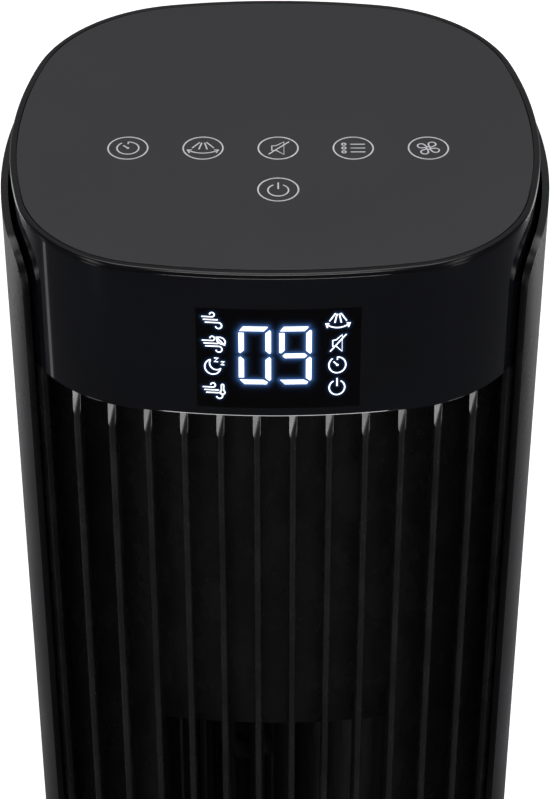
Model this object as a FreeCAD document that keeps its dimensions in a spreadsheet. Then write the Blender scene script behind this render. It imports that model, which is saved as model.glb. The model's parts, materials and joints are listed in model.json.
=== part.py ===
"""Oscillating tower fan: a slim tower that swivels on a round base, with a tangential impeller inside.

Millimetres, +Z up, the front outlet faces -Y. The origin is on the floor, under the swivel axis.
Every size is a cell of the "sizes" sheet, and every piece is bound to those cells.
"""

import FreeCAD
import Part
import Sketcher
import math
import os
import re
from fcgear import fcgear, involute

SIZES = {
    # Overall
    "height": 1070,
    "base_radius": 150,
    # Outline of the tower seen from above: eight tangent arcs
    "half_width": 80.3,
    "half_depth": 76,
    "front_radius": 230,
    "front_corner": 44,
    "side_radius": 155,
    "side_centre": 5,
    "rear_corner": 51,
    "rear_radius": 206,
    # Clearances
    "seam": 0.2,
    "slide_play": 0.1,
    "running_play": 0.05,
    # Base
    "foot_radius": 9,
    "foot_height": 4.5,
    "foot_edge": 0.7,
    "foot_circle": 132,
    "base_lift": 3,
    "base_plate_thickness": 3,
    "base_plate_hole": 46,
    "base_wall": 2.6,
    "base_rim_top": 19,
    "base_rim_fillet": 6,
    "base_top": 38,
    "base_top_radius": 74,
    "base_top_fillet": 5,
    "boss_radius": 5,
    "base_screw_circle": 110,
    "base_screw_reach": 24,
    "gland_height": 11.2,
    "gland_bore": 3.5,
    "gland_radius": 4.4,
    "gland_flange": 5.1,
    "gland_lip": 2,
    "gland_length": 14,
    # Swivel
    "post_radius": 24,
    "post_bore": 15,
    "post_bottom": 12,
    "post_shoulder": 3,
    "flange_radius": 66,
    "flange_thickness": 4,
    "nut_wall": 10,
    "nut_height": 10,
    "nut_grips": 12,
    "nut_grip_radius": 2.7,
    "nut_grip_out": 0.5,
    "slide_room": 2,
    "slide_thickness": 3.9,
    "hub_wall": 8,
    "hub_height": 11.9,
    "gear_thickness": 6,
    "retainer_lip": 5,
    "retainer_room": 2,
    "retainer_thickness": 2.5,
    "gear_module": 1,
    "gear_teeth": 72,
    "pinion_teeth": 18,
    "gear_backlash": 0.16,
    # Oscillation drive
    "stepper_radius": 17.5,
    "stepper_height": 20,
    "stepper_edge": 1,
    "stepper_shaft_radius": 2.5,
    "bracket_thickness": 2.5,
    "bracket_length": 28,
    "bracket_half_width": 28,
    "bracket_leg_radius": 3.5,
    "bracket_leg_spread": 23,
    "bracket_leg_row": 8,
    # Tower shells
    "floor_thickness": 4,
    "collar_height": 46,
    "collar_wall": 2.4,
    "skin_inset": 0.2,
    "shell_gap": 1.1,
    "shell_wall": 2.2,
    "shell_top_drop": 10.5,
    "shell_front": 52.5,
    "shell_corner": 13,
    # Head
    "cap_lip": 1.6,
    "cap_rim": 1.9,
    "cap_frame": 10,
    "cap_skirt_wall": 2,
    "cap_skirt_height": 8,
    "cap_edge": 0.7,
    "plate_thickness": 1,
    "plate_seam": 0.3,
    "lens_wall": 2.2,
    "lens_height": 52,
    "deck_thickness": 3,
    "board_thickness": 1.6,
    "touch_spring_height": 2,
    "touch_spring_radius": 5,
    "touch_spring_wire": 0.8,
    "button_pitch": 22.7,
    "button_row": 11.3,
    "power_row": 33.4,
    "display_half_width": 30,
    "display_board_y": 64,
    "display_board_height": 41,
    "digit_half_width": 12,
    "digit_front": 72.5,
    "digit_low_drop": 43,
    "digit_height": 27,
    "guide_inner": 13.5,
    "guide_width": 9,
    "guide_front": 71.6,
    "guide_overlap": 3.5,
    # Front grille
    "rib_count": 14,
    "rib_pitch": 10.85,
    "rib_width": 2.6,
    "rib_depth": 17,
    "rib_inset": 0.8,
    "rib_slope_height": 10.5,
    "rib_slope_depth": 3.5,
    "grille_wall": 2,
    "skirt_back": 32,
    "sill_thickness": 2.5,
    "outlet_half_width": 37.3,
    "outlet_top_drop": 203,
    "outlet_room": 3,
    "lip_height": 21,
    "lip_depth": 5,
    "sleeve_depth": 9,
    "bar_count": 4,
    "bar_thickness": 2.5,
    "bar_depth": 4,
    # Rear intake
    "intake_half_width": 52,
    "intake_step": 5,
    "intake_frame": 5,
    "slat_count": 16,
    "slat_pitch": 6,
    "slat_width": 2.4,
    "intake_bar_count": 7,
    "intake_bar": 2,
    # Handle
    "handle_drop": 115,
    "handle_end_radius": 19,
    "handle_half_length": 27.6,
    "handle_depth": 36,
    "handle_wall": 2,
    # Impeller and its duct
    "rotor_y": 8,
    "impeller_radius": 48,
    "impeller_disc": 1.6,
    "impeller_discs": 7,
    "blade_count": 28,
    "blade_depth": 12,
    "blade_arc": 11,
    "blade_thickness": 1,
    "blade_lean": 8,
    "impeller_hub": 4,
    "duct_plate": 3,
    "duct_plate_inset": 12,
    "duct_room": 13,
    "duct_wall": 2,
    "scroll_room": 10,
    "tongue_room": 5,
    "scroll_end": 35,
    "tongue_start": 195,
    "bearing_holder_radius": 11,
    "bearing_height": 8,
    "bush_radius": 6,
    "bearing_lip": 2,
    "top_shaft_radius": 3,
    # Motor
    "motor_radius": 42,
    "air_gap": 0.5,
    "coil_room": 4,
    "stator_height": 28,
    "motor_rotor_radius": 20,
    "coil_inner": 24,
    "coil_height": 13,
    "bush_outer": 8,
    "bell_height": 18,
    "bell_wall": 2,
    "motor_shaft_radius": 4,
    "coupling_radius": 12,
    "coupling_room": 6,
    "mount_radius": 6,
    "mount_spread": 24,
    "mount_height": 12,
    "stand_height": 60,
    "stand_thickness": 3,
    "stand_half_width": 46,
    "stand_leg_radius": 4,
    "stand_leg_x": 40,
    "stand_leg_y": 43,
    # Electronics in the foot
    "driver_half_width": 35,
    "driver_y": 60,
    "driver_height": 58,
    # Screws
    "screw_shank": 1.6,
    "screw_head": 3.4,
    "screw_head_height": 2,
    "screw_slot": 0.9,
    "shell_screw_x": 40,
    "shell_screw_length": 12,
    "shell_boss_front": 50,
}

# Sums that several pieces share. Sums elsewhere use these names as they use the sizes.
PLACES = {
    "deep": "2 * half_depth",
    # Heights, from the floor up
    "cover_inside": "base_top - base_wall",
    "flange_top": "base_top + flange_thickness",
    "tower_bottom": "flange_top + slide_thickness + slide_play",
    "tower_floor": "tower_bottom + floor_thickness",
    "hub_top": "tower_bottom + hub_height",
    "gear_bottom": "hub_top + slide_play",
    "gear_top": "gear_bottom + gear_thickness",
    "bracket_bottom": "gear_top + retainer_thickness + retainer_room",
    "stepper_bottom": "bracket_bottom + bracket_thickness",
    "collar_top": "tower_bottom + collar_height",
    "stand_top": "tower_floor + stand_height",
    "stator_bottom": "stand_top + mount_height + bell_height",
    "motor_top": "stator_bottom + stator_height",
    "coupling_bottom": "motor_top + bell_height + coupling_room",
    "duct_floor_z": "motor_top + bell_height + duct_room",
    "outlet_bottom": "duct_floor_z + duct_plate + outlet_room",
    "impeller_bottom": "outlet_bottom + outlet_room",
    "outlet_top": "height - outlet_top_drop",
    "impeller_top": "outlet_top - outlet_room",
    "impeller_height": "impeller_top - impeller_bottom",
    "duct_roof_z": "outlet_top + outlet_room",
    "intake_bottom": "outlet_bottom + intake_step",
    "intake_top": "duct_roof_z",
    "handle_z": "height - handle_drop",
    "lens_bottom": "height - lens_height",
    "deck_top": "lens_bottom + deck_thickness",
    "grille_height": "lens_bottom - collar_top",
    "seat_bottom": "height - plate_thickness - touch_spring_height",
    "board_bottom": "seat_bottom - board_thickness",
    # Radii about the swivel axis and the impeller's axis
    "spigot_radius": "post_radius - post_shoulder",
    "nut_radius": "post_radius + nut_wall",
    "hub_radius": "post_radius + hub_wall",
    "slide_inner": "post_radius + slide_room",
    "slide_outer": "flange_radius - hub_wall",
    "retainer_radius": "post_radius + retainer_lip",
    "gear_centre": "0.5 * gear_module * (gear_teeth + pinion_teeth)",
    "blade_inner": "impeller_radius - blade_depth",
    "scroll_radius": "impeller_radius + scroll_room",
    "tongue_radius": "impeller_radius + tongue_room",
    "stator_bore": "motor_rotor_radius + air_gap",
    "coil_outer": "motor_radius - coil_room",
    # Offsets from the tower's outline, outwards
    "grille_back": "0 - skin_inset - grille_wall",
    "lens_inside": "0 - skin_inset - lens_wall",
    "skirt_outside": "lens_inside - seam",
    "skirt_inside": "skirt_outside - cap_skirt_wall",
    "plate_edge": "0 - cap_rim - plate_seam",
    "shell_outside": "shell_gap + shell_wall",
    # Places along Y
    "drive_y": "0 - gear_centre",
    "sleeve_back": "0 - half_depth + rib_depth + sleeve_depth",
    "board_front": "0 - display_board_y - board_thickness",
}

# Heights of the screws that hold the rear shell
SCREW_LEVELS = {
    "low": "tower_bottom + 0.65 * collar_height",
    "duct_low": "duct_floor_z - 0.5 * boss_radius",
    "duct_high": "duct_roof_z + duct_plate + 0.5 * boss_radius",
    "head": "lens_bottom - 0.5 * boss_radius",
}

doc = FreeCAD.newDocument("tower_fan")
sheet = doc.addObject("Spreadsheet::Sheet", "sizes")
for row, (alias, number) in enumerate(SIZES.items(), 1):
    sheet.set(f"A{row}", alias)
    sheet.set(f"B{row}", str(number))
    sheet.setAlias(f"B{row}", alias)
doc.recompute()

nodes = []


# ---------------------------------------------------------------- sizes and bindings

def expanded(text):
    """A sum with the shared places written out in sizes."""
    return re.sub(r"[a-z][a-z_]*", lambda word: f"({expanded(PLACES[word.group()])})"
                  if word.group() in PLACES else word.group(), str(text))


def size(text):
    """The value of a sum of sizes, such as 'height - cap_lip' or '0.5 * (base_top + seam)'."""
    text = expanded(text)
    while "(" in text:
        text = re.sub(r"\(([^()]*)\)", lambda inner: f"{size(inner.group(1)):.9f}", text)
    total = 0.0
    for sign, product in re.findall(r"([+-]?)\s*(-?[\w.]+(?:\s*[*/]\s*-?[\w.]+)*)", text):
        number = 1.0
        for operator, word in re.findall(r"([*/]?)\s*(-?[\w.]+)", product):
            factor = float(sheet.get(word)) if word in SIZES else float(word)
            number = number / factor if operator == "/" else number * factor
        total += -number if sign == "-" else number
    return total


def formula(text):
    """The same sum as a FreeCAD expression on the sheet."""
    return re.sub(r"[a-z][a-z_]*", lambda word: "sizes." + word.group(), expanded(text))


def bind(thing, **properties):
    """Binds properties to sums of sizes. x, y and z stand for the placement's base."""
    for name, text in properties.items():
        path = f".Placement.Base.{name}" if name in ("x", "y", "z") else name
        thing.setExpression(path, formula(text))
    return thing


def node(thing, label):
    """Names a finished sub-part, whose shape becomes a file of that name."""
    thing.Label = label
    nodes.append(thing)
    return thing


# ---------------------------------------------------------------- solids

def box(name, x, y, z, length, width, height):
    thing = doc.addObject("Part::Box", name)
    return bind(thing, x=x, y=y, z=z, Length=length, Width=width, Height=height)


def slab(name, half_width, y, z, width, height):
    """A box centred on the tower's middle plane."""
    return box(name, f"0 - ({half_width})", y, z, f"2 * ({half_width})", width, height)


def cylinder(name, radius, height, x="0", y="0", z="0", along="z"):
    """A cylinder from its base point, along +Z or +Y."""
    thing = doc.addObject("Part::Cylinder", name)
    if along == "y":
        thing.Placement.Rotation = FreeCAD.Rotation(FreeCAD.Vector(1, 0, 0), -90)
    return bind(thing, Radius=radius, Height=height, x=x, y=y, z=z)


def joined(name, *things):
    if len(things) == 1:
        return things[0]
    thing = doc.addObject("Part::MultiFuse", name)
    thing.Shapes = list(things)
    return thing


def shared(name, *things):
    thing = doc.addObject("Part::MultiCommon", name)
    thing.Shapes = list(things)
    return thing


def less(name, base, *tools):
    thing = doc.addObject("Part::Cut", name)
    thing.Base = base
    thing.Tool = joined(name + "_tools", *tools)
    return thing


def together(label, things):
    """Identical pieces that share one node as separate solids."""
    thing = doc.addObject("Part::Compound", label)
    thing.Links = things
    return node(thing, label)


def rounded(name, base, radius, wanted, feature="Part::Fillet"):
    """Fillets or chamfers the edges for which wanted(edge) is true."""
    doc.recompute()
    thing = doc.addObject(feature, name)
    thing.Base = base
    reach = size(radius)
    thing.Edges = [(number, reach, reach)
                   for number, edge in enumerate(base.Shape.Edges, 1) if wanted(edge)]
    return thing


def level_edge(z):
    """True for an edge that lies level at height z."""
    height = size(z)
    return lambda edge: all(abs(v - height) < 0.01
                            for v in (edge.BoundBox.ZMin, edge.BoundBox.ZMax))


# ---------------------------------------------------------------- the tower's outline

def meeting(centre_a, radius_a, centre_b, radius_b, side):
    """The point at given distances from two centres, on one side of the line through them."""
    span = centre_b - centre_a
    along = (radius_a ** 2 - radius_b ** 2 + span.Length ** 2) / (2 * span.Length)
    across = math.sqrt(radius_a ** 2 - along ** 2)
    unit = FreeCAD.Vector(span).normalize()
    return centre_a + unit * along + FreeCAD.Vector(-unit.y, unit.x, 0) * (side * across)


def outline(name, offset="0", z="0", y="0"):
    """A sketch of the tower's outline, offset outwards, with every size bound to the sheet."""
    grown = size(offset)
    half_width = size("half_width") + grown
    half_depth = size("half_depth") + grown
    radii = {part: size(part) + grown for part in
             ("front_radius", "front_corner", "side_radius", "rear_corner", "rear_radius")}
    side = FreeCAD.Vector(half_width - radii["side_radius"], -size("side_centre"), 0)
    front = FreeCAD.Vector(0, radii["front_radius"] - half_depth, 0)
    rear = FreeCAD.Vector(0, half_depth - radii["rear_radius"], 0)
    front_corner = meeting(front, radii["front_radius"] - radii["front_corner"],
                           side, radii["side_radius"] - radii["front_corner"], 1)
    rear_corner = meeting(rear, radii["rear_radius"] - radii["rear_corner"],
                          side, radii["side_radius"] - radii["rear_corner"], -1)

    def other_side(point):
        return FreeCAD.Vector(-point.x, point.y, 0)

    arcs = [("front_radius", front), ("front_corner", front_corner), ("side_radius", side),
            ("rear_corner", rear_corner), ("rear_radius", rear),
            ("rear_corner", other_side(rear_corner)), ("side_radius", other_side(side)),
            ("front_corner", other_side(front_corner))]

    def joint_angle(first, second):
        """Direction from an arc's centre to where it touches the next arc."""
        big, small = sorted((first, second), key=lambda arc: -radii[arc[0]])
        away = small[1] - big[1]
        return math.atan2(away.y, away.x)

    sketch = doc.addObject("Sketcher::SketchObject", name)
    for index, arc in enumerate(arcs):
        start = joint_angle(arcs[index - 1], arc)
        end = joint_angle(arc, arcs[(index + 1) % len(arcs)])
        circle = Part.Circle(arc[1], FreeCAD.Vector(0, 0, 1), radii[arc[0]])
        sketch.addGeometry(Part.ArcOfCircle(circle, start, end))
    for index in range(len(arcs)):
        sketch.addConstraint(Sketcher.Constraint("Tangent", index, 2, (index + 1) % len(arcs), 1))
    for index in (0, 4):
        sketch.addConstraint(Sketcher.Constraint("PointOnObject", index, 3, -2))
    for first, second in ((1, 7), (3, 5), (2, 6)):
        sketch.addConstraint(Sketcher.Constraint("Equal", first, second))
    sketch.addConstraint(Sketcher.Constraint("Symmetric", 2, 3, 6, 3, -2))
    for index in range(5):
        part = arcs[index][0]
        hold(sketch, Sketcher.Constraint("Radius", index, radii[part]), f"{part} + {offset}")
    hold(sketch, Sketcher.Constraint("DistanceX", 2, 3, side.x), "half_width - side_radius")
    hold(sketch, Sketcher.Constraint("DistanceY", 2, 3, side.y), "0 - side_centre")
    hold(sketch, Sketcher.Constraint("DistanceY", 0, 3, front.y), "front_radius - half_depth")
    hold(sketch, Sketcher.Constraint("DistanceY", 4, 3, rear.y), "half_depth - rear_radius")
    return bind(sketch, y=y, z=z)


def hold(sketch, constraint, text):
    """Adds a dimension and binds it to the sheet."""
    index = sketch.addConstraint(constraint)
    sketch.setExpression(f"Constraints[{index}]", formula(text))


def extrusion(name, sketch, length, direction=(0, 0, 1)):
    thing = doc.addObject("Part::Extrusion", name)
    thing.Base = sketch
    thing.DirMode = "Custom"
    thing.Dir = FreeCAD.Vector(*direction)
    thing.Solid = True
    return bind(thing, LengthFwd=length)


def prism(name, offset, z, height, y="0"):
    """The tower's outline, offset and raised to a solid."""
    return extrusion(name, outline(name + "_outline", offset, z, y), height)


def wall(name, outer, thickness, z, height, y="0"):
    """A closed wall that follows the outline, its outer face offset by outer."""
    return less(name, prism(name + "_outer", outer, z, height, y),
                prism(name + "_inner", f"{outer} - {thickness}", z, height, y))


# ---------------------------------------------------------------- sketches and turned pieces

def polygon(sketch, corners):
    """A closed run of straight lines whose corners are bound to the sheet."""
    points = [FreeCAD.Vector(size(across), size(up), 0) for across, up in corners]
    count = len(points)
    for index, point in enumerate(points):
        sketch.addGeometry(Part.LineSegment(point, points[(index + 1) % count]))
    for index in range(count):
        sketch.addConstraint(Sketcher.Constraint("Coincident", index, 2, (index + 1) % count, 1))
    for index, (point, corner) in enumerate(zip(points, corners)):
        for kind, value, text, axis in (("DistanceX", point.x, corner[0], -2),
                                        ("DistanceY", point.y, corner[1], -1)):
            if abs(value) < 1e-9:
                sketch.addConstraint(Sketcher.Constraint("PointOnObject", index, 1, axis))
            else:
                hold(sketch, Sketcher.Constraint(kind, index, 1, value), text)
    return sketch


def plane_of(body, role):
    return next(plane for plane in body.Origin.OriginFeatures if plane.Role == role)


def turned(name, corners, x="0", y="0"):
    """A body of revolution about a vertical axis, from (radius, height) corners."""
    body = doc.addObject("PartDesign::Body", name)
    sketch = body.newObject("Sketcher::SketchObject", name + "_profile")
    sketch.AttachmentSupport = [(plane_of(body, "XZ_Plane"), "")]
    sketch.MapMode = "FlatFace"
    polygon(sketch, corners)
    turn = body.newObject("PartDesign::Revolution", name + "_turn")
    turn.Profile = sketch
    turn.ReferenceAxis = (sketch, ["V_Axis"])
    turn.Angle = 360
    return bind(body, x=x, y=y)


def ring(name, inner, outer, z, height, x="0", y="0"):
    """A turned ring with a square section."""
    return turned(name, [(inner, z), (outer, z), (outer, f"{z} + {height}"),
                         (inner, f"{z} + {height}")], x, y)


def side_panel(name, corners, half_width):
    """A polygon in the YZ plane, raised both ways along X."""
    sketch = doc.addObject("Sketcher::SketchObject", name + "_profile")
    sketch.Placement = FreeCAD.Placement(FreeCAD.Vector(), FreeCAD.Rotation(0.5, 0.5, 0.5, 0.5))
    polygon(sketch, corners)
    thing = extrusion(name, sketch, half_width, (1, 0, 0))
    return bind(thing, LengthRev=half_width)


def around(count, start=0.0):
    """Angles of evenly spaced pieces, in degrees."""
    return [start + 360.0 / count * index for index in range(count)]


def screw(name, x, y, z, length, along):
    """A pan-head screw with a slot. along is 'up' or 'front', the way its point looks."""
    if along == "up":
        shank = cylinder(name + "_shank", "screw_shank", length, x, y, z)
        head = cylinder(name + "_head", "screw_head", "screw_head_height", x, y,
                        f"{z} - screw_head_height")
        slot = box(name + "_slot", f"{x} - screw_head", f"{y} - 0.5 * screw_slot",
                   f"{z} - screw_head_height", "2 * screw_head", "screw_slot", "screw_slot")
    else:
        shank = cylinder(name + "_shank", "screw_shank", length, x, f"{y} - {length}", z, "y")
        head = cylinder(name + "_head", "screw_head", "screw_head_height", x, y, z, "y")
        slot = box(name + "_slot", f"{x} - screw_head", f"{y} + screw_head_height - screw_slot",
                   f"{z} - 0.5 * screw_slot", "2 * screw_head", "screw_slot", "screw_slot")
    return less(name, joined(name + "_body", shank, head), slot)


def polar(circle, angle):
    """x and y of a point on a circle about the swivel axis, as sums of sizes."""
    return (f"({circle}) * {math.cos(math.radians(angle)):.6f}",
            f"({circle}) * {math.sin(math.radians(angle)):.6f}")


PRESSURE_ANGLE = 20


def gear(label, teeth, bore, x, y, turn):
    """A spur gear on the drive's plane, with involute teeth thinned for backlash."""
    module = size("gear_module")
    shift = -size("gear_backlash") / (4 * module * math.tan(math.radians(PRESSURE_ANGLE)))
    builder = fcgear.FCWireBuilder()
    involute.CreateExternalGear(builder, module, int(size(teeth)), PRESSURE_ANGLE, split=False,
                                shiftCoeff=shift)
    profile = Part.Wire([curve.toShape() for curve in builder.wire])
    blank = Part.Face(profile).extrude(FreeCAD.Vector(0, 0, size("gear_thickness")))
    hole = Part.makeCylinder(size(bore), size("gear_thickness"))
    thing = doc.addObject("Part::Feature", label)
    thing.Shape = blank.cut(hole)
    thing.Placement.Rotation = FreeCAD.Rotation(FreeCAD.Vector(0, 0, 1), turn)
    bind(thing, x=x, y=y, z="gear_bottom")
    return node(thing, label)


# ---------------------------------------------------------------- base

def rubber_feet():
    feet = []
    for index, angle in enumerate(around(6, 30)):
        x, y = polar("foot_circle", angle)
        foot = cylinder(f"foot_{index}", "foot_radius", "foot_height", x, y)
        feet.append(rounded(f"foot_{index}_edge", foot, "foot_edge", level_edge("0"), "Part::Chamfer"))
    together("rubber_feet", feet)


def base_plate():
    disc = ring("base_disc", "base_plate_hole", "base_radius - base_wall - seam", "base_lift",
                "base_plate_thickness")
    cuts = []
    for index, angle in enumerate(around(6, 30)):
        x, y = polar("foot_circle", angle)
        cuts.append(cylinder(f"foot_pocket_{index}", "foot_radius + running_play", "foot_height", x, y))
    for index, angle in enumerate(around(6)):
        x, y = polar("base_screw_circle", angle)
        cuts.append(cylinder(f"base_hole_{index}", "screw_shank + seam", "base_top", x, y))
    node(less("base_plate", disc, *cuts), "base_plate")


def base_cover():
    profile = [("base_radius", "base_lift"), ("base_radius", "base_rim_top"),
               ("base_top_radius", "base_top"), ("post_radius + seam", "base_top"),
               ("post_radius + seam", "cover_inside"), ("base_top_radius", "cover_inside"),
               ("base_radius - base_wall", "base_rim_top - base_wall"),
               ("base_radius - base_wall", "base_lift")]
    dome = turned("base_dome", profile)
    dome = rounded("base_rim_edge", dome, "base_rim_fillet", level_edge("base_rim_top"))
    outer_edge = level_edge("base_top")
    dome = rounded("base_top_edge", dome, "base_top_fillet",
                   lambda edge: outer_edge(edge) and edge.BoundBox.XMax > size("flange_radius"))
    room = turned("base_room", [("0", "base_lift + base_plate_thickness"),
                                ("base_radius - base_wall", "base_lift + base_plate_thickness"),
                                ("base_radius - base_wall", "base_rim_top - 0.5 * base_wall"),
                                ("base_top_radius", "base_top - 0.5 * base_wall"),
                                ("0", "base_top - 0.5 * base_wall")])
    posts = []
    holes = []
    for index, angle in enumerate(around(6)):
        x, y = polar("base_screw_circle", angle)
        posts.append(cylinder(f"base_boss_{index}", "boss_radius", "base_top", x, y))
        holes.append(cylinder(f"base_boss_hole_{index}", "screw_shank", "base_screw_reach + seam", x, y))
    bosses = shared("base_bosses", joined("base_posts", *posts), room)
    window = cylinder("gland_window", "gland_radius + running_play", "gland_length", "0",
                      "base_radius - gland_length", "gland_height", "y")
    node(less("base_cover", joined("base_cover_solid", dome, bosses), window, *holes), "base_cover")


def base_screws():
    screws = []
    for index, angle in enumerate(around(6)):
        x, y = polar("base_screw_circle", angle)
        screws.append(screw(f"base_screw_{index}", x, y, "base_lift",
                            "base_screw_reach - base_lift", "up"))
    together("base_screws", screws)


def cord_gland():
    """A rubber sleeve through the cover's rim, with a flange inside it."""
    start = "base_radius - base_wall - gland_lip - seam"
    sleeve = cylinder("gland_sleeve", "gland_radius", "gland_length", "0", start, "gland_height", "y")
    inner = cylinder("gland_inner", "gland_flange", "gland_lip", "0", start, "gland_height", "y")
    bore = cylinder("gland_bore_tool", "gland_bore", "gland_length", "0", start, "gland_height", "y")
    inside = ring("gland_trim", "0", "base_radius", "0", "base_top")
    node(less("cord_gland", shared("gland_body", joined("gland_blank", sleeve, inner), inside), bore),
         "cord_gland")


def swivel_post():
    profile = [("post_bore", "post_bottom"), ("post_radius", "post_bottom"),
               ("post_radius", "base_top"), ("flange_radius", "base_top"),
               ("flange_radius", "flange_top"), ("post_radius", "flange_top"),
               ("post_radius", "gear_bottom"), ("spigot_radius", "gear_bottom"),
               ("spigot_radius", "gear_top"), ("post_bore", "gear_top")]
    post = turned("post_turned", profile)
    holes = retainer_positions("post_hole", "screw_shank", "gear_top - gear_thickness",
                               "gear_thickness")
    node(less("swivel_post", post, *holes), "swivel_post")


def retainer_positions(name, radius, z, height):
    """Three upright cylinders midway in the post's wall."""
    found = []
    for index, angle in enumerate(around(3, 90)):
        x, y = polar("0.5 * (post_bore + spigot_radius)", angle)
        found.append(cylinder(f"{name}_{index}", radius, height, x, y, z))
    return found


def post_nut():
    blank = ring("nut_blank", "post_radius + running_play", "nut_radius",
                 "cover_inside - nut_height", "nut_height")
    grips = []
    for index, angle in enumerate(around(int(size("nut_grips")))):
        x, y = polar("nut_radius + nut_grip_out", angle)
        grips.append(cylinder(f"nut_grip_{index}", "nut_grip_radius", "base_top", x, y))
    node(less("post_nut", blank, *grips), "post_nut")


def slide_ring():
    node(ring("slide_ring", "slide_inner", "slide_outer", "flange_top",
              "tower_bottom - slide_play - (flange_top)"), "slide_ring")


def ring_gear():
    gear("ring_gear", "gear_teeth", "spigot_radius", "0", "0", 90)


def gear_retainer():
    blank = ring("retainer_blank", "post_bore", "retainer_radius", "gear_top", "retainer_thickness")
    holes = retainer_positions("retainer_hole", "screw_shank", "gear_top", "retainer_thickness")
    node(less("gear_retainer", blank, *holes), "gear_retainer")


def retainer_screws():
    top = "gear_top + retainer_thickness"
    shanks = retainer_positions("retainer_shank", "screw_shank", "gear_bottom + seam",
                                "gear_thickness + retainer_thickness - seam")
    heads = retainer_positions("retainer_head", "0.8 * screw_head", top, "0.6 * screw_head_height")
    together("retainer_screws", [joined(f"retainer_screw_{index}", shank, head)
                                 for index, (shank, head) in enumerate(zip(shanks, heads))])


# ---------------------------------------------------------------- swivel drive

def drive_bracket():
    """A plate on four legs that holds the gear motor over the pinion."""
    near = "0 - gear_centre - 0.5 * bracket_length"
    plate = slab("bracket_plate", "bracket_half_width", near,
                 "stepper_bottom - bracket_thickness", "bracket_length", "bracket_thickness")
    legs = []
    for side in (-1, 1):
        for row in (-1, 1):
            legs.append(cylinder(f"bracket_leg_{side}_{row}", "bracket_leg_radius",
                                 "stepper_bottom - bracket_thickness - tower_bottom - floor_thickness",
                                 f"{side} * bracket_leg_spread",
                                 f"drive_y + {row} * bracket_leg_row",
                                 "tower_bottom + floor_thickness"))
    hole = cylinder("bracket_hole", "2 * stepper_shaft_radius", "stepper_height", "0", "drive_y",
                    "gear_bottom")
    node(less("drive_bracket", joined("bracket_solid", plate, *legs), hole), "drive_bracket")


def swivel_motor():
    """The gear motor: a can with two ears, bored for its output shaft."""
    can = cylinder("swivel_can", "stepper_radius", "stepper_height", "0", "drive_y", "stepper_bottom")
    can = rounded("swivel_can_edge", can, "stepper_edge",
                  level_edge("stepper_bottom + stepper_height"))
    ears = slab("swivel_ears", "bracket_leg_spread", "drive_y - bracket_leg_radius",
                "stepper_bottom", "2 * bracket_leg_radius", "0.5 * bracket_thickness")
    bore = cylinder("swivel_bore", "stepper_shaft_radius + running_play", "0.5 * stepper_height", "0",
                    "drive_y", "stepper_bottom")
    node(less("swivel_motor", joined("swivel_solid", can, ears), bore), "swivel_motor")


def pinion():
    gear("drive_pinion", "pinion_teeth", "stepper_shaft_radius", "0", "drive_y",
         90 + 180 / size("pinion_teeth"))
    node(cylinder("pinion_shaft", "stepper_shaft_radius",
                  "stepper_bottom + 0.4 * stepper_height - gear_bottom", "0", "drive_y", "gear_bottom"),
         "pinion_shaft")


# ---------------------------------------------------------------- tower foot

def bottom_housing():
    floor = prism("housing_floor", "0 - skin_inset", "tower_bottom", "floor_thickness")
    rim = wall("housing_rim", "0 - skin_inset", "collar_wall", "tower_bottom",
               "collar_top - tower_bottom")
    hub = cylinder("housing_hub", "hub_radius", "hub_top - tower_bottom", "0", "0", "tower_bottom")
    bore = cylinder("housing_bore", "post_radius + running_play", "height", "0", "0", "0")
    solid = joined("housing_solid", floor, rim, hub, *shell_bosses("housing", "low"))
    node(less("bottom_housing", solid, bore, *shell_holes("housing", "low")), "bottom_housing")


def shell_bosses(name, level):
    """Two posts that reach back to the inside of the rear shell."""
    found = []
    for side in (-1, 1):
        post = cylinder(f"{name}_post_{side}", "boss_radius", "deep", f"{side} * shell_screw_x",
                        "shell_boss_front", SCREW_LEVELS[level], "y")
        found.append(shared(f"{name}_boss_{side}", post,
                            prism(f"{name}_reach_{side}", "shell_gap", "0", "height")))
    return found


def shell_holes(name, level):
    return [cylinder(f"{name}_hole_{side}", "screw_shank", "deep", f"{side} * shell_screw_x",
                     "shell_boss_front + boss_radius", SCREW_LEVELS[level], "y") for side in (-1, 1)]


def driver_board():
    """The mains and motor board, upright on the floor behind the swivel post."""
    node(slab("driver_board", "driver_half_width", "driver_y", "tower_bottom + floor_thickness",
              "board_thickness", "driver_height"), "driver_board")


def motor_stand():
    plate = slab("stand_plate", "stand_half_width", "0 - stand_leg_y - stand_leg_radius",
                 "stand_top - stand_thickness",
                 "2 * (stand_leg_y + stand_leg_radius)", "stand_thickness")
    legs = []
    for side in (-1, 1):
        for row in (-1, 1):
            legs.append(cylinder(f"stand_leg_{side}_{row}", "stand_leg_radius",
                                 "stand_top - stand_thickness - tower_bottom - floor_thickness",
                                 f"{side} * stand_leg_x", f"{row} * stand_leg_y",
                                 "tower_bottom + floor_thickness"))
    node(joined("motor_stand", plate, *legs), "motor_stand")


# ---------------------------------------------------------------- fan motor

def motor_mounts():
    mounts = []
    for side in (-1, 1):
        for row in (-1, 1):
            mounts.append(cylinder(f"mount_{side}_{row}", "mount_radius", "mount_height",
                                   f"{side} * mount_spread", f"rotor_y + {row} * mount_spread",
                                   "stand_top"))
    together("motor_mounts", mounts)


def motor_bells():
    motor_bell("lower_bell", "stator_bottom", "stator_bottom - bell_height")
    motor_bell("upper_bell", "motor_top", "motor_top + bell_height")


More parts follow.
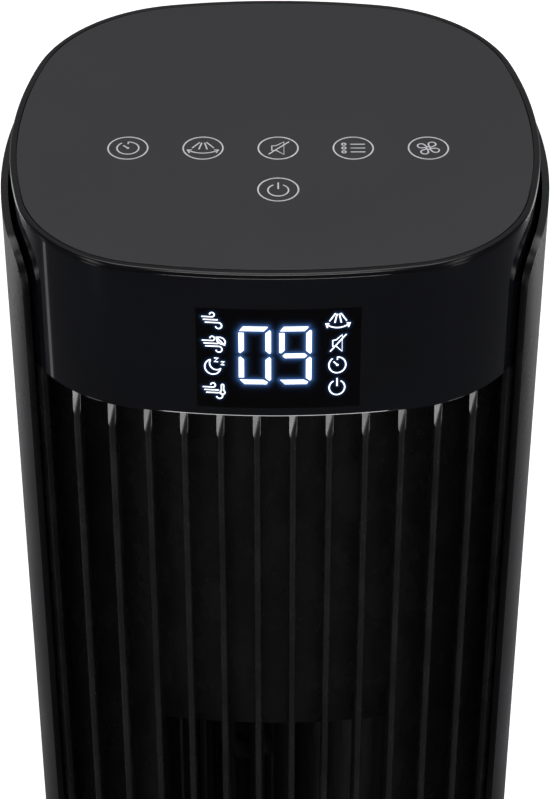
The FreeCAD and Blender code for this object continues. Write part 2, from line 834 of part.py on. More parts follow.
def motor_bell(label, low, cap):
    """One end bell: a cup whose open rim is at low and whose closed end is at cap."""
    upward = size(cap) > size(low)
    under = f"{cap} - bell_wall" if upward else f"{cap} + bell_wall"
    profile = [("bush_outer", cap), ("motor_radius", cap), ("motor_radius", low),
               ("motor_radius - bell_wall", low), ("motor_radius - bell_wall", under),
               ("bush_outer", under)]
    node(turned(label, profile, "0", "rotor_y"), label)


def stator():
    node(ring("stator_core", "stator_bore", "motor_radius", "stator_bottom", "stator_height", "0",
              "rotor_y"), "stator_core")
    coils = [ring(f"coil_{index}", "coil_inner", "coil_outer", z, "coil_height", "0", "rotor_y")
             for index, z in enumerate(("motor_top", "stator_bottom - coil_height"))]
    together("stator_coils", coils)


def motor_bushes():
    bushes = [ring(f"motor_bush_{index}", "motor_shaft_radius + running_play", "bush_outer", z,
                   "bell_wall", "0", "rotor_y")
              for index, z in enumerate(("motor_top + bell_height - bell_wall",
                                         "stator_bottom - bell_height"))]
    together("motor_bushes", bushes)


def motor_rotor():
    node(ring("motor_rotor", "motor_shaft_radius", "motor_rotor_radius", "stator_bottom",
              "stator_height", "0", "rotor_y"), "motor_rotor")
    node(cylinder("motor_shaft", "motor_shaft_radius", "impeller_bottom - stator_bottom + bell_height",
                  "0", "rotor_y", "stator_bottom - bell_height"), "motor_shaft")


# ---------------------------------------------------------------- impeller

def impeller():
    """Seven discs joined by a ring of curved blades."""
    discs = []
    last = int(size("impeller_discs")) - 1
    for index in range(last + 1):
        z = f"impeller_bottom + {index} * (impeller_height - impeller_disc) / {last}"
        inner = "impeller_hub" if index in (0, last) else "blade_inner - 2 * blade_thickness"
        discs.append(ring(f"impeller_disc_{index}", inner, "impeller_radius", z, "impeller_disc", "0",
                          "rotor_y"))
    blades = []
    for index, angle in enumerate(around(int(size("blade_count")))):
        blades.append(blade(f"blade_{index}", angle))
    node(joined("impeller", *discs, *blades), "impeller")


def blade(name, angle):
    """One blade: a strip bent along its length, leaning forward in the turning direction."""
    outer = size("impeller_radius - seam")
    inner = size("blade_inner")
    arc_radius = size("blade_arc")
    half = size("blade_thickness") / 2
    start = FreeCAD.Vector(inner, 0, 0)
    lean = math.radians(size("blade_lean"))
    end = FreeCAD.Vector(outer * math.cos(lean), outer * math.sin(lean), 0)
    chord = end - start
    middle = (start + end) * 0.5
    side = FreeCAD.Vector(-chord.y, chord.x, 0).normalize()
    centre = middle + side * math.sqrt(arc_radius ** 2 - (chord.Length / 2) ** 2)
    spans = []
    for radius in (arc_radius - half, arc_radius + half):
        points = [centre + (point - centre).normalize() * radius for point in (start, middle, end)]
        spans.append(points)
    near, far = spans
    edges = [Part.Arc(*near).toShape(), Part.LineSegment(near[2], far[2]).toShape(),
             Part.Arc(*far[::-1]).toShape(), Part.LineSegment(far[0], near[0]).toShape()]
    strip = Part.Face(Part.Wire(edges)).extrude(FreeCAD.Vector(0, 0, size("impeller_height")))
    thing = doc.addObject("Part::Feature", name)
    thing.Shape = strip
    thing.Placement.Rotation = FreeCAD.Rotation(FreeCAD.Vector(0, 0, 1), angle)
    return bind(thing, y="rotor_y", z="impeller_bottom")


def impeller_ends():
    hub = ring("hub_blank", "motor_shaft_radius", "coupling_radius", "coupling_bottom",
               "impeller_bottom - coupling_bottom", "0", "rotor_y")
    node(hub, "drive_coupling")
    node(cylinder("top_shaft", "top_shaft_radius",
                  "duct_roof_z + bearing_height + seam - (impeller_top - impeller_disc)", "0",
                  "rotor_y", "impeller_top - impeller_disc"), "top_shaft")


def top_bearing():
    z = "duct_roof_z + duct_plate"
    node(ring("bearing_bush", "top_shaft_radius + running_play", "bush_radius", "duct_roof_z",
              "bearing_height", "0", "rotor_y"), "bearing_bush")
    top = "duct_roof_z + bearing_height"
    profile = [("bush_radius", "duct_roof_z"), ("bearing_holder_radius", "duct_roof_z"),
               ("bearing_holder_radius", z), ("bearing_holder_radius + bearing_lip", z),
               ("bearing_holder_radius + bearing_lip", top), ("bush_radius", top)]
    node(turned("bearing_rubber", profile, "0", "rotor_y"), "bearing_rubber")


# ---------------------------------------------------------------- air duct

def duct_plate(label, z, level, hole):
    """A plate across the tower, with a hole on the impeller's axis and two shell posts."""
    plate = shared(f"{label}_plate",
                   prism(f"{label}_sides", "0 - duct_plate_inset", z, "duct_plate"),
                   prism(f"{label}_corners", "grille_back - seam", z, "duct_plate", "rib_depth"),
                   slab(f"{label}_front", "half_width", "sleeve_back + seam", z, "deep",
                        "duct_plate"))
    bore = cylinder(f"{label}_bore", hole, "deep", "0", "rotor_y", f"{z} - half_depth")
    solid = joined(f"{label}_solid", plate, *shell_bosses(label, level))
    node(less(label, solid, bore, *shell_holes(label, level)), label)


def arc_wall(name, radius, thickness, first, last, z, height):
    """A wall round the impeller's axis between two angles."""
    parts = []
    for part, reach in (("outer", f"{radius} + {thickness}"), ("inner", radius)):
        solid = cylinder(f"{name}_{part}", reach, height, "0", "rotor_y", z)
        solid.Angle = last - first
        solid.Placement.Rotation = FreeCAD.Rotation(FreeCAD.Vector(0, 0, 1), first)
        parts.append(solid)
    return less(name, *parts)


def duct_wall(label, radius, first, last, side):
    """A curved wall beside the impeller and the straight cheek that leads from it to the outlet."""
    z = "duct_floor_z + duct_plate"
    height = f"duct_roof_z - ({z})"
    curve = arc_wall(f"{label}_curve", radius, "duct_wall", first, last, z, height)
    mouth = size(radius) * math.sin(math.radians(last if side < 0 else first))
    front = "sleeve_back + seam"
    cheek = box(f"{label}_cheek", f"{side} * (outlet_half_width + 0.5 * duct_wall) - 0.5 * duct_wall",
                front, z, "duct_wall", f"rotor_y + {mouth:.4f} - ({front})", height)
    node(joined(label, curve, cheek), label)


def duct():
    duct_plate("duct_floor", "duct_floor_z", "duct_low", "coupling_radius + duct_plate")
    duct_plate("duct_roof", "duct_roof_z", "duct_high", "bearing_holder_radius")
    start = -math.degrees(math.acos(size("outlet_half_width") / size("scroll_radius")))
    duct_wall("scroll_wall", "scroll_radius", start, size("scroll_end"), 1)
    finish = 180 + math.degrees(math.acos(size("outlet_half_width") / size("tongue_radius")))
    duct_wall("duct_tongue", "tongue_radius", size("tongue_start"), finish, -1)


# ---------------------------------------------------------------- front grille

def rib_places():
    """Where each rib stands across the front, as sums of sizes."""
    count = int(size("rib_count"))
    return [f"{index - (count - 1) / 2} * rib_pitch" for index in range(count)]


def rib_envelope():
    """The space that the ribs fill: straight below, and leaning back under the head."""
    straight = prism("rib_straight", "0 - rib_inset", "collar_top",
                     "grille_height - rib_slope_height")
    lean = doc.addObject("Part::Loft", "rib_lean")
    lean.Sections = [outline("rib_lean_low", "0 - rib_inset", "lens_bottom - rib_slope_height"),
                     outline("rib_lean_high", "0 - rib_inset - rib_slope_depth", "lens_bottom")]
    lean.Solid = True
    lean.Ruled = True
    return joined("rib_space", straight, lean)


def front_grille():
    """Upright ribs in front of a wall that is the outline moved back, with the air outlet in it."""
    slab_front = slab("grille_front", "half_depth + half_width", "0 - half_depth - half_width",
                      "collar_top", "half_depth + half_width - skirt_back", "grille_height")
    back = wall("grille_back", "0 - skin_inset", "grille_wall", "collar_top", "grille_height",
                "rib_depth")
    side = wall("grille_side", "0 - skin_inset", "grille_wall", "collar_top", "grille_height")
    behind = slab("grille_behind", "half_depth + half_width", "0 - shell_front + 0.5 * seam",
                  "collar_top", "deep", "grille_height")
    inside = prism("grille_inside", "0 - skin_inset", "collar_top", "grille_height")
    walls = shared("grille_walls", joined("grille_both", shared("grille_skirts", side, behind), back),
                   slab_front, inside)
    opening = slab("outlet_opening", "outlet_half_width", "0 - half_depth", "outlet_bottom",
                   "deep", "outlet_top + lip_height - outlet_bottom")
    walls = joined("grille_with_lip", less("grille_open", walls, opening), outlet_sleeve())
    sill = shared("grille_sill", slab_front,
                  less("sill_ring", prism("sill_disc", "0 - skin_inset", "collar_top", "sill_thickness"),
                       prism("sill_inside", "grille_back", "collar_top", "sill_thickness",
                             "rib_depth")))
    strips = [box(f"rib_{index}", f"{x} - 0.5 * rib_width", "0 - half_depth", "collar_top",
                  "rib_width", "half_depth - skirt_back", "grille_height")
              for index, x in enumerate(rib_places())]
    moved = prism("rib_back", "grille_back + 0.5 * grille_wall", "collar_top", "grille_height",
                  "rib_depth")
    ribs = less("ribs", shared("rib_strips", joined("rib_boxes", *strips), rib_envelope()), moved)
    node(joined("front_grille", walls, sill, ribs, *tie_bars()), "front_grille")


def outlet_sleeve():
    """A short sleeve behind the outlet; its top is a slanted lip that guides the air out."""
    outer = slab("sleeve_outer", "outlet_half_width + grille_wall", "0 - half_depth",
                 "outlet_bottom - grille_wall", "half_depth + sleeve_back",
                 "outlet_top + lip_height - outlet_bottom + 2 * grille_wall")
    inner = slab("sleeve_inner", "outlet_half_width", "0 - half_depth", "outlet_bottom",
                 "deep", "outlet_top + lip_height - outlet_bottom + 2 * grille_wall")
    sides = shared("sleeve_sides", less("sleeve_box", outer, inner),
                   prism("sleeve_reach", "0 - skin_inset", "collar_top", "grille_height", "rib_depth"))
    front = "0 - half_depth + rib_depth"
    top = "outlet_top + lip_height + grille_wall"
    corners = [(front, top), (f"{front} + grille_wall", top),
               (f"{front} + lip_depth + grille_wall", "outlet_top"),
               (f"{front} + lip_depth", "outlet_top")]
    return joined("outlet_sleeve", sides,
                  side_panel("outlet_lip", corners, "outlet_half_width + 0.5 * grille_wall"))


def tie_bars():
    """Level bars behind the ribs, across the outlet."""
    bars = []
    count = int(size("bar_count"))
    for index in range(count):
        z = f"outlet_bottom + {index + 1} * (outlet_top - outlet_bottom) / {count + 1}"
        bars.append(wall(f"tie_bar_{index}", "0 - skin_inset - 0.5 * grille_wall", "bar_depth", z,
                         "bar_thickness", "rib_depth"))
    window = slab("tie_window", "outlet_half_width + 0.5 * grille_wall", "0 - half_depth",
                  "collar_top", "half_depth - skirt_back", "grille_height")
    return [shared("tie_bars", joined("tie_rings", *bars), window)]


# ---------------------------------------------------------------- rear shell

def side_profile():
    """The shell's outline from the side: a straight front edge with a rounded top corner."""
    sketch = doc.addObject("Sketcher::SketchObject", "shell_side")
    sketch.Placement = FreeCAD.Placement(FreeCAD.Vector(), FreeCAD.Rotation(0.5, 0.5, 0.5, 0.5))
    front = -size("shell_front")
    top = size("height - shell_top_drop")
    back = size("deep")
    corner = size("shell_corner")
    low = size("tower_bottom")
    points = [FreeCAD.Vector(back, low, 0), FreeCAD.Vector(back, top, 0),
              FreeCAD.Vector(front + corner, top, 0), FreeCAD.Vector(front, top - corner, 0),
              FreeCAD.Vector(front, low, 0)]
    sketch.addGeometry(Part.LineSegment(points[0], points[1]))
    sketch.addGeometry(Part.LineSegment(points[1], points[2]))
    circle = Part.Circle(FreeCAD.Vector(front + corner, top - corner, 0), FreeCAD.Vector(0, 0, 1),
                         corner)
    sketch.addGeometry(Part.ArcOfCircle(circle, math.pi / 2, math.pi))
    sketch.addGeometry(Part.LineSegment(points[3], points[4]))
    sketch.addGeometry(Part.LineSegment(points[4], points[0]))
    for first, first_end, second, second_end in ((0, 2, 1, 1), (3, 2, 4, 1), (4, 2, 0, 1)):
        sketch.addConstraint(Sketcher.Constraint("Coincident", first, first_end, second, second_end))
    sketch.addConstraint(Sketcher.Constraint("Tangent", 1, 2, 2, 1))
    sketch.addConstraint(Sketcher.Constraint("Tangent", 2, 2, 3, 1))
    for index, kind in ((0, "Vertical"), (1, "Horizontal"), (3, "Vertical"), (4, "Horizontal")):
        sketch.addConstraint(Sketcher.Constraint(kind, index))
    hold(sketch, Sketcher.Constraint("Radius", 2, corner), "shell_corner")
    hold(sketch, Sketcher.Constraint("DistanceX", 0, 1, back), "deep")
    hold(sketch, Sketcher.Constraint("DistanceY", 0, 1, low), "tower_bottom")
    hold(sketch, Sketcher.Constraint("DistanceX", 3, 2, front), "0 - shell_front")
    hold(sketch, Sketcher.Constraint("DistanceY", 0, 2, top), "height - shell_top_drop")
    return sketch


def rear_shell():
    """The outer wrap round the back and sides, with the intake window and the handle's hole."""
    skin = wall("shell_skin", "shell_outside", "shell_wall", "tower_bottom",
                "height - shell_top_drop - tower_bottom")
    trim = extrusion("shell_trim", side_profile(), "half_width + half_depth", (1, 0, 0))
    bind(trim, LengthRev="half_width + half_depth")
    skin = shared("shell_trimmed", skin, trim)
    window = slab("intake_window", "intake_half_width", "0", "intake_bottom", "deep",
                  "intake_top - intake_bottom")
    holes = []
    for level in SCREW_LEVELS.values():
        for side in (-1, 1):
            holes.append(cylinder(f"shell_hole_{len(holes)}", "screw_shank + seam", "deep",
                                  f"{side} * shell_screw_x", "0", level, "y"))
            holes.append(cylinder(f"shell_seat_{len(holes)}", "screw_head + seam", "deep",
                                  f"{side} * shell_screw_x", screw_seat(), level, "y"))
    node(less("rear_shell", skin, window, handle_slot("shell_slot", "0", "0"), *holes), "rear_shell")


def handle_slot(name, grown, y):
    """A long hole with round ends, looking backwards."""
    ends = [cylinder(f"{name}_end_{side}", f"handle_end_radius + {grown}", "deep",
                     f"{side} * handle_half_length", y, "handle_z", "y") for side in (-1, 1)]
    middle = slab(f"{name}_middle", "handle_half_length", y,
                  f"handle_z - handle_end_radius - ({grown})", "deep",
                  f"2 * (handle_end_radius + {grown})")
    return joined(name, middle, *ends)


def handle_cup():
    """The pocket behind the shell that the fingers reach into, with a flange against the shell."""
    floor_y = "half_depth - handle_depth"
    outside = shared("cup_outside", handle_slot("cup_outer", "0 - seam", f"{floor_y} - handle_wall"),
                     prism("cup_reach", "shell_outside", "0", "height"))
    flange = shared("cup_flange", handle_slot("cup_wide", "handle_wall", "0"),
                    wall("cup_rim", "shell_gap", "handle_wall", "0", "height"))
    inside = handle_slot("cup_inner", "0 - handle_wall", floor_y)
    node(less("handle_cup", joined("cup_solid", outside, flange), inside), "handle_cup")


def intake_grille():
    """Upright slats and level bars in a frame that fills the shell's window."""
    frame_outer = slab("intake_outer", "intake_half_width - seam", "0", "intake_bottom + seam",
                       "deep", "intake_top - intake_bottom - 2 * seam")
    frame_inner = slab("intake_inner", "intake_half_width - intake_frame", "0",
                       "intake_bottom + intake_frame", "deep",
                       "intake_top - intake_bottom - 2 * intake_frame")
    parts = [less("intake_frame_box", frame_outer, frame_inner)]
    count = int(size("slat_count"))
    for index in range(count):
        parts.append(box(f"slat_{index}", f"{index - (count - 1) / 2} * slat_pitch - 0.5 * slat_width",
                         "0", "intake_bottom + intake_frame", "slat_width", "deep",
                         "intake_top - intake_bottom - 2 * intake_frame"))
    count = int(size("intake_bar_count"))
    for index in range(count):
        z = (f"intake_bottom + {index + 1} * (intake_top - intake_bottom) / {count + 1}"
             " - 0.5 * intake_bar")
        parts.append(slab(f"intake_bar_{index}", "intake_half_width - intake_frame", "0", z, "deep",
                          "intake_bar"))
    sheet_of_air = wall("intake_sheet", "shell_outside", "shell_wall", "intake_bottom",
                        "intake_top - intake_bottom")
    node(shared("intake_grille", joined("intake_pattern", *parts), sheet_of_air), "intake_grille")


def screw_seat():
    """Y of the flat under each shell screw's head, cut into the shell's curved back."""
    radius = size("rear_radius + shell_outside")
    sag = radius - math.sqrt(radius ** 2 - size("shell_screw_x + screw_head") ** 2)
    return f"half_depth + shell_outside - {sag:.4f}"


def shell_screws():
    screws = []
    for level in SCREW_LEVELS.values():
        for side in (-1, 1):
            screws.append(screw(f"shell_screw_{len(screws)}", f"{side} * shell_screw_x",
                                screw_seat(), level, "shell_screw_length", "front"))
    together("shell_screws", screws)


# ---------------------------------------------------------------- head

def front_half(name, z, height):
    return slab(name, "2 * half_width", "0 - 2 * half_depth", z, "2 * half_depth - 0.5 * seam", height)


def rear_half(name, z, height):
    return slab(name, "2 * half_width", "0.5 * seam", z, "deep", height)


def display_lens():
    """The glossy front band of the head."""
    band = wall("lens_band", "0 - skin_inset", "lens_wall", "lens_bottom",
                "lens_height - cap_lip - seam")
    node(shared("display_lens", band, front_half("lens_half", "lens_bottom", "lens_height")),
         "display_lens")


def head_frame():
    """The rear band of the head, with the deck that closes it and two shell posts."""
    band = shared("head_band", wall("head_ring", "0 - skin_inset", "lens_wall", "lens_bottom",
                                    "lens_height - cap_lip - seam"),
                  rear_half("head_half", "lens_bottom", "lens_height"))
    deck = prism("head_deck", "skirt_outside", "lens_bottom", "deck_thickness")
    root = shared("head_root", prism("head_root_disc", "0 - skin_inset", "lens_bottom", "deck_thickness"),
                  rear_half("head_root_half", "lens_bottom", "lens_height"))
    solid = joined("head_solid", band, deck, root, *shell_bosses("head", "head"))
    node(less("head_frame", solid, *shell_holes("head", "head")), "head_frame")


def top_cap():
    """A lipped frame on top of the head, with a seat for the touch plate."""
    lip = prism("cap_plate", "0", "height - cap_lip", "cap_lip")
    lip = rounded("cap_edge_cut", lip, "cap_edge", level_edge("height"), "Part::Chamfer")
    seat = prism("cap_seat", "skirt_outside", "seat_bottom", "plate_thickness")
    skirt = wall("cap_skirt", "skirt_outside", "cap_skirt_wall",
                 "height - cap_lip - cap_skirt_height", "cap_skirt_height")
    recess = prism("cap_recess", "0 - cap_rim", "height - plate_thickness", "cap_lip")
    opening = prism("cap_opening", "0 - cap_rim - cap_frame", "seat_bottom", "height")
    node(less("top_cap", joined("cap_solid", lip, seat, skirt), recess, opening), "top_cap")


def touch_plate():
    node(prism("touch_plate", "plate_edge", "height - plate_thickness", "plate_thickness"), "touch_plate")


def button_places():
    """The touch keys: a row of five and the power key in front of it."""
    places = [(f"{index} * button_pitch", "0 - button_row") for index in range(-2, 3)]
    return places + [("0", "0 - power_row")]


def touch_electronics():
    node(prism("touch_board", "skirt_inside - seam", "board_bottom", "board_thickness"), "touch_board")
    springs = [ring(f"touch_spring_{index}", "touch_spring_radius - touch_spring_wire",
                    "touch_spring_radius", "seat_bottom", "touch_spring_height", x, y)
               for index, (x, y) in enumerate(button_places())]
    together("touch_springs", springs)


def display_electronics():
    node(slab("display_board", "display_half_width", "board_front", "deck_top", "board_thickness",
              "display_board_height"), "display_board")
    node(slab("digit_module", "digit_half_width", "0 - digit_front", "height - digit_low_drop",
              "digit_front + board_front", "digit_height"), "digit_module")
    guides = [box(f"icon_guide_{side}",
                  f"{side} * (guide_inner + 0.5 * guide_width) - 0.5 * guide_width",
                  "0 - guide_front", "height - digit_low_drop - guide_overlap", "guide_width",
                  "guide_front + board_front", "digit_height + 2 * guide_overlap")
              for side in (-1, 1)]
    together("icon_guides", guides)


# ---------------------------------------------------------------- the whole fan

BUILDERS = [
    rubber_feet, base_plate, base_cover, base_screws, cord_gland, swivel_post, post_nut, slide_ring,
    ring_gear, gear_retainer, retainer_screws, drive_bracket, swivel_motor, pinion, bottom_housing,
    driver_board, motor_stand, motor_mounts, stator, motor_bushes, motor_rotor, impeller,
    impeller_ends, top_bearing, duct, front_grille, rear_shell, handle_cup, intake_grille,
    shell_screws, display_lens, head_frame, top_cap, touch_plate, touch_electronics,
    display_electronics, motor_bells,
]


def check():
    """Stops if any object failed or any sub-part is empty or broken."""
    for thing in doc.Objects:
        if "Invalid" in thing.State or "Error" in thing.State:
            raise RuntimeError(f"{thing.Name} failed: {thing.State}")
    for thing in nodes:
        if thing.Shape.isNull() or not thing.Shape.isValid() or not thing.Shape.Solids:
            raise RuntimeError(f"{thing.Label} has no valid solid")


def write():
    os.makedirs("parts", exist_ok=True)
    for thing in nodes:
        thing.Shape.exportStep(os.path.join("parts", thing.Label + ".step"))


for builder in BUILDERS:
    builder()
doc.recompute()
check()
write()
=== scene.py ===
"""The visual model of a tower fan: shells, grille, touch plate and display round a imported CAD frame."""

import json
import math
from typing import NamedTuple

import bmesh
import bpy
from bpy.props import FloatProperty, FloatVectorProperty, IntProperty, PointerProperty
from mathutils import Matrix, Vector, kdtree


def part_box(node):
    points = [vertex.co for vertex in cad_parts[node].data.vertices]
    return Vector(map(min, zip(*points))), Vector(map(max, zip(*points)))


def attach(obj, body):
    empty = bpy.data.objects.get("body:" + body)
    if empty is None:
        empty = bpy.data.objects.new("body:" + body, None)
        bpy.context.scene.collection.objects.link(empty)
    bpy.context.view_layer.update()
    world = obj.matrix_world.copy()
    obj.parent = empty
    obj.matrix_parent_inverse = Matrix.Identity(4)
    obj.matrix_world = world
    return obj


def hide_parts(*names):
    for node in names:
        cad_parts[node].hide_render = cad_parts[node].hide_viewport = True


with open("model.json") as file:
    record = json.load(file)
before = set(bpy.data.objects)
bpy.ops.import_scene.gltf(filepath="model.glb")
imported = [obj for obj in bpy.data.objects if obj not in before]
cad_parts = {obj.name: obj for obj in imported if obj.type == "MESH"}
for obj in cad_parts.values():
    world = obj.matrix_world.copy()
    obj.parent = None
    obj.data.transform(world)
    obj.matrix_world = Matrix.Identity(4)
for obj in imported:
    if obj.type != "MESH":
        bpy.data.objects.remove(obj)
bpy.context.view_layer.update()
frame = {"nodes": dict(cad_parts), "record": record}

bl_info = {
    "name": "Tower Fan",
    "version": (1, 0, 0),
    "blender": (4, 5, 0),
    "location": "View3D > Sidebar > Tower Fan",
    "description": "Builds the shells, grille, touch plate and display of a tower fan",
    "category": "Object",
}

MM = 0.001
FRONT = 1.5 * math.pi
BACK = 0.5 * math.pi
TURN = 2 * math.pi
WELD = 0.002 * MM
# How far parts of one moulding run into each other
OVERLAP = 0.1 * MM


# ---------------------------------------------------------------- sizes and colours

def linear(code):
    """An sRGB hex colour as the linear numbers that shaders and colour properties use."""
    parts = [int(code[index:index + 2], 16) / 255 for index in (1, 3, 5)]
    return tuple(part / 12.92 if part <= 0.04045 else ((part + 0.055) / 1.055) ** 2.4 for part in parts)


def length(name, description, millimetres):
    """A size property; its default is given in millimetres."""
    return FloatProperty(name=name, description=description, default=millimetres * MM,
                         min=0.0, subtype="DISTANCE", unit="LENGTH", precision=5)


def colour(name, description, code):
    """A colour property; its default is a hex code."""
    return FloatVectorProperty(name=name, description=description, default=linear(code), size=3,
                               min=0.0, max=1.0, subtype="COLOR")


class TowerSizes(bpy.types.PropertyGroup):
    """The arcs of the tower's plan and the walls that follow them."""
    half_width: length("Half width", "From the middle to the widest point", 80.3)
    half_depth: length("Half depth", "From the middle to the front", 76.0)
    front_radius: length("Front radius", "Radius of the front's flat arc", 230.0)
    front_corner: length("Front corner", "Radius of the two front corners", 44.0)
    side_radius: length("Side radius", "Radius of the side arcs", 155.0)
    side_centre: length("Side centre", "How far in front of the axis the sides are widest", 5.0)
    rear_corner: length("Rear corner", "Radius of the two rear corners", 51.0)
    rear_radius: length("Rear radius", "Radius of the back's arc", 206.0)
    skin_inset: length("Skin inset", "How far the head and foot stand inside the plan", 0.2)
    wall: length("Wall", "Thickness of the moulded walls", 2.2)
    facet: length("Facet", "Longest straight step round the plan", 3.0)


class ShellSizes(bpy.types.PropertyGroup):
    """The wrap round the back and sides."""
    reach: length("Reach", "How far the shell stands outside the plan", 3.3)
    front: length("Front edge", "How far in front of the axis the shell ends", 52.5)
    corner: length("Top corner", "Radius of the top front corner, seen from the side", 13.0)
    edge: length("Edge round", "Radius of the shell's rounded edges", 1.05)
    slot_half_height: length("Handle half height", "From the handle's middle to its rim", 19.0)
    window_half_width: length("Intake half width", "From the middle to the intake's edge", 52.0)
    window_corner: length("Intake corner", "Radius of the intake window's corners", 4.0)


class GrilleSizes(bpy.types.PropertyGroup):
    """The ribs in front of the recessed wall, and the air outlet."""
    rib_count: IntProperty(name="Ribs", description="Upright ribs across the front", default=14, min=2)
    rib_pitch: length("Rib pitch", "Distance from one rib to the next", 10.85)
    rib_width: length("Rib width", "Thickness of a rib", 2.3)
    rib_inset: length("Rib inset", "How far a rib's nose stands inside the plan", 0.8)
    nose: length("Nose", "Radius along both edges of a rib's nose", 1.12)
    recess: length("Recess", "How far the wall stands behind the front", 17.0)
    wall: length("Wall", "Thickness of the wall, the lip, the sleeve and the sides", 2.0)
    wall_reach: length("Wall reach", "From the middle to where the wall ends at each side", 77.2)
    slope_height: length("Slope height", "Height over which a rib's top leans back", 10.5)
    slope_depth: length("Slope depth", "How far a rib's top leans back", 3.5)
    outlet_half_width: length("Outlet half width", "From the middle to the outlet's side", 37.3)
    lip_height: length("Lip height", "Height of the slanted lip over the outlet", 21.0)
    lip_depth: length("Lip depth", "How far the lip leans back", 5.0)
    sleeve_depth: length("Sleeve depth", "Depth of the sleeve behind the outlet", 9.0)
    bar_count: IntProperty(name="Tie bars", description="Level bars across the outlet", default=4, min=0)
    bar_height: length("Bar height", "Height of a tie bar", 2.5)
    skirt_end: length("Side end", "How far in front of the axis the grille's sides end", 32.0)


class HeadSizes(bpy.types.PropertyGroup):
    """The rim, the touch plate and its printed keys."""
    rim: length("Rim", "Width of the rim round the touch plate", 1.9)
    ledge: length("Ledge", "How far the rim's ledge reaches under the touch plate", 10.0)
    rim_edge: length("Rim edge", "Radius of the rim's outer edge", 0.65)
    lip: length("Lip", "Height of the rim over the glossy band", 1.6)
    seam: length("Seam", "Gap between the rim and the touch plate", 0.3)
    key_radius: length("Key radius", "Radius of the circle round a key", 6.0)
    key_pitch: length("Key pitch", "Distance between the keys in the row", 22.7)
    key_shift: length("Key shift", "How far right of the middle the keys are printed", 0.95)
    key_row: length("Key row", "How far in front of the axis the row stands", 11.3)
    power_row: length("Power row", "How far in front of the axis the power key stands", 33.4)
    line: length("Line", "Width of the printed lines", 0.46)
    ink: length("Ink", "Height of the printed lines over the plate", 0.03)
    symbol_scale: FloatProperty(name="Symbol scale", description="Size of a key's symbol", default=1.2)


class DisplaySizes(bpy.types.PropertyGroup):
    """The lit window in the glossy band."""
    left: length("Left", "From the middle to the window's left side", 23.0)
    right: length("Right", "From the middle to the window's right side", 25.0)
    top: length("Top", "From the fan's top down to the window", 12.7)
    bottom: length("Bottom", "From the fan's top down to the window's lower side", 49.0)
    digit_top: length("Digit top", "From the fan's top down to the digits", 18.8)
    digit_left: length("First digit", "From the middle to the first digit's left side", 10.7)
    digit_pitch: length("Digit pitch", "Distance between the digits", 11.8)
    stroke: length("Stroke", "Width of the lit symbols' lines", 0.42)
    icon_left: length("Left icons", "From the middle to the left column", 18.2)
    icon_right: length("Right icons", "From the middle to the right column", 18.2)
    first_icon: length("First icon", "From the fan's top down to the first icon's middle", 17.2)
    left_pitch: length("Left pitch", "Distance down the left column", 8.6)
    right_pitch: length("Right pitch", "Distance down the right column", 8.05)
    halo: length("Halo", "How far the digits' blue halo spreads", 0.5)


class BaseSizes(bpy.types.PropertyGroup):
    """The round base, and the tower's foot that turns on it."""
    rim_round: length("Rim round", "Radius of the base's outer rim", 6.0)
    top_round: length("Top round", "Radius where the slope meets the flat top", 5.0)
    flat_top: length("Flat top", "Radius of the flat top", 74.0)
    rim_height: length("Rim height", "Height where the slope starts", 19.0)
    wall: length("Wall", "Thickness of the cover", 2.6)
    hole: length("Hole", "Radius of the hole for the post that the tower turns on", 24.2)
    foot_wall: length("Foot wall", "Thickness of the tower's foot", 2.4)
    foot_floor: length("Foot floor", "Thickness of the floor in the tower's foot", 4.0)
    foot_ledge: length("Foot ledge", "How far the foot's wall turns in over its floor", 8.0)
    hub: length("Hub", "Radius of the hub in the tower's foot", 32.0)
    hub_height: length("Hub height", "How far the hub stands over the foot's lower side", 11.9)
    bore: length("Bore", "Radius of the hub's bore", 24.05)


class FanColours(bpy.types.PropertyGroup):
    """The colours that the eye meets first."""
    shell: colour("Shell", "Black of the rear shell", "#0d0d0f")
    grille: colour("Grille", "Black of the front grille", "#1e1e20")
    lens: colour("Lens", "Blue-black of the glossy band", "#0f1015")
    rim: colour("Rim", "Black of the rim", "#101013")
    plate: colour("Touch plate", "Grey of the matt touch plate", "#1e1e21")
    ink: colour("Ink", "Grey of the printed keys", "#e0e0e4")
    base: colour("Base", "Black of the base", "#0e0e10")
    light: colour("Light", "White of the lit segments", "#f2f6ff")
    halo: colour("Halo", "Blue round the lit segments", "#4470b4")
    floor: colour("Floor", "Pale floor of the studio", "#f4f4f4")


class FanSettings(bpy.types.PropertyGroup):
    """Every size and colour of the fan."""
    tower: PointerProperty(type=TowerSizes)
    shell: PointerProperty(type=ShellSizes)
    grille: PointerProperty(type=GrilleSizes)
    head: PointerProperty(type=HeadSizes)
    display: PointerProperty(type=DisplaySizes)
    base: PointerProperty(type=BaseSizes)
    colours: PointerProperty(type=FanColours)


def settings():
    return bpy.context.scene.tower_fan


# ---------------------------------------------------------------- the tower's plan

class Arc(NamedTuple):
    """A stretch of the plan; start and end are the directions that it faces, in radians."""
    centre: Vector
    radius: float
    start: float
    end: float


def meeting(centre_a, radius_a, centre_b, radius_b):
    """Where two circles cross on the right-hand side."""
    between = centre_b - centre_a
    distance = between.length
    along = (distance ** 2 + radius_a ** 2 - radius_b ** 2) / (2 * distance)
    across = math.sqrt(radius_a ** 2 - along ** 2)
    unit = between / distance
    middle = centre_a + unit * along
    sideways = Vector((-unit.y, unit.x)) * across
    return max(middle + sideways, middle - sideways, key=lambda point: point.x)


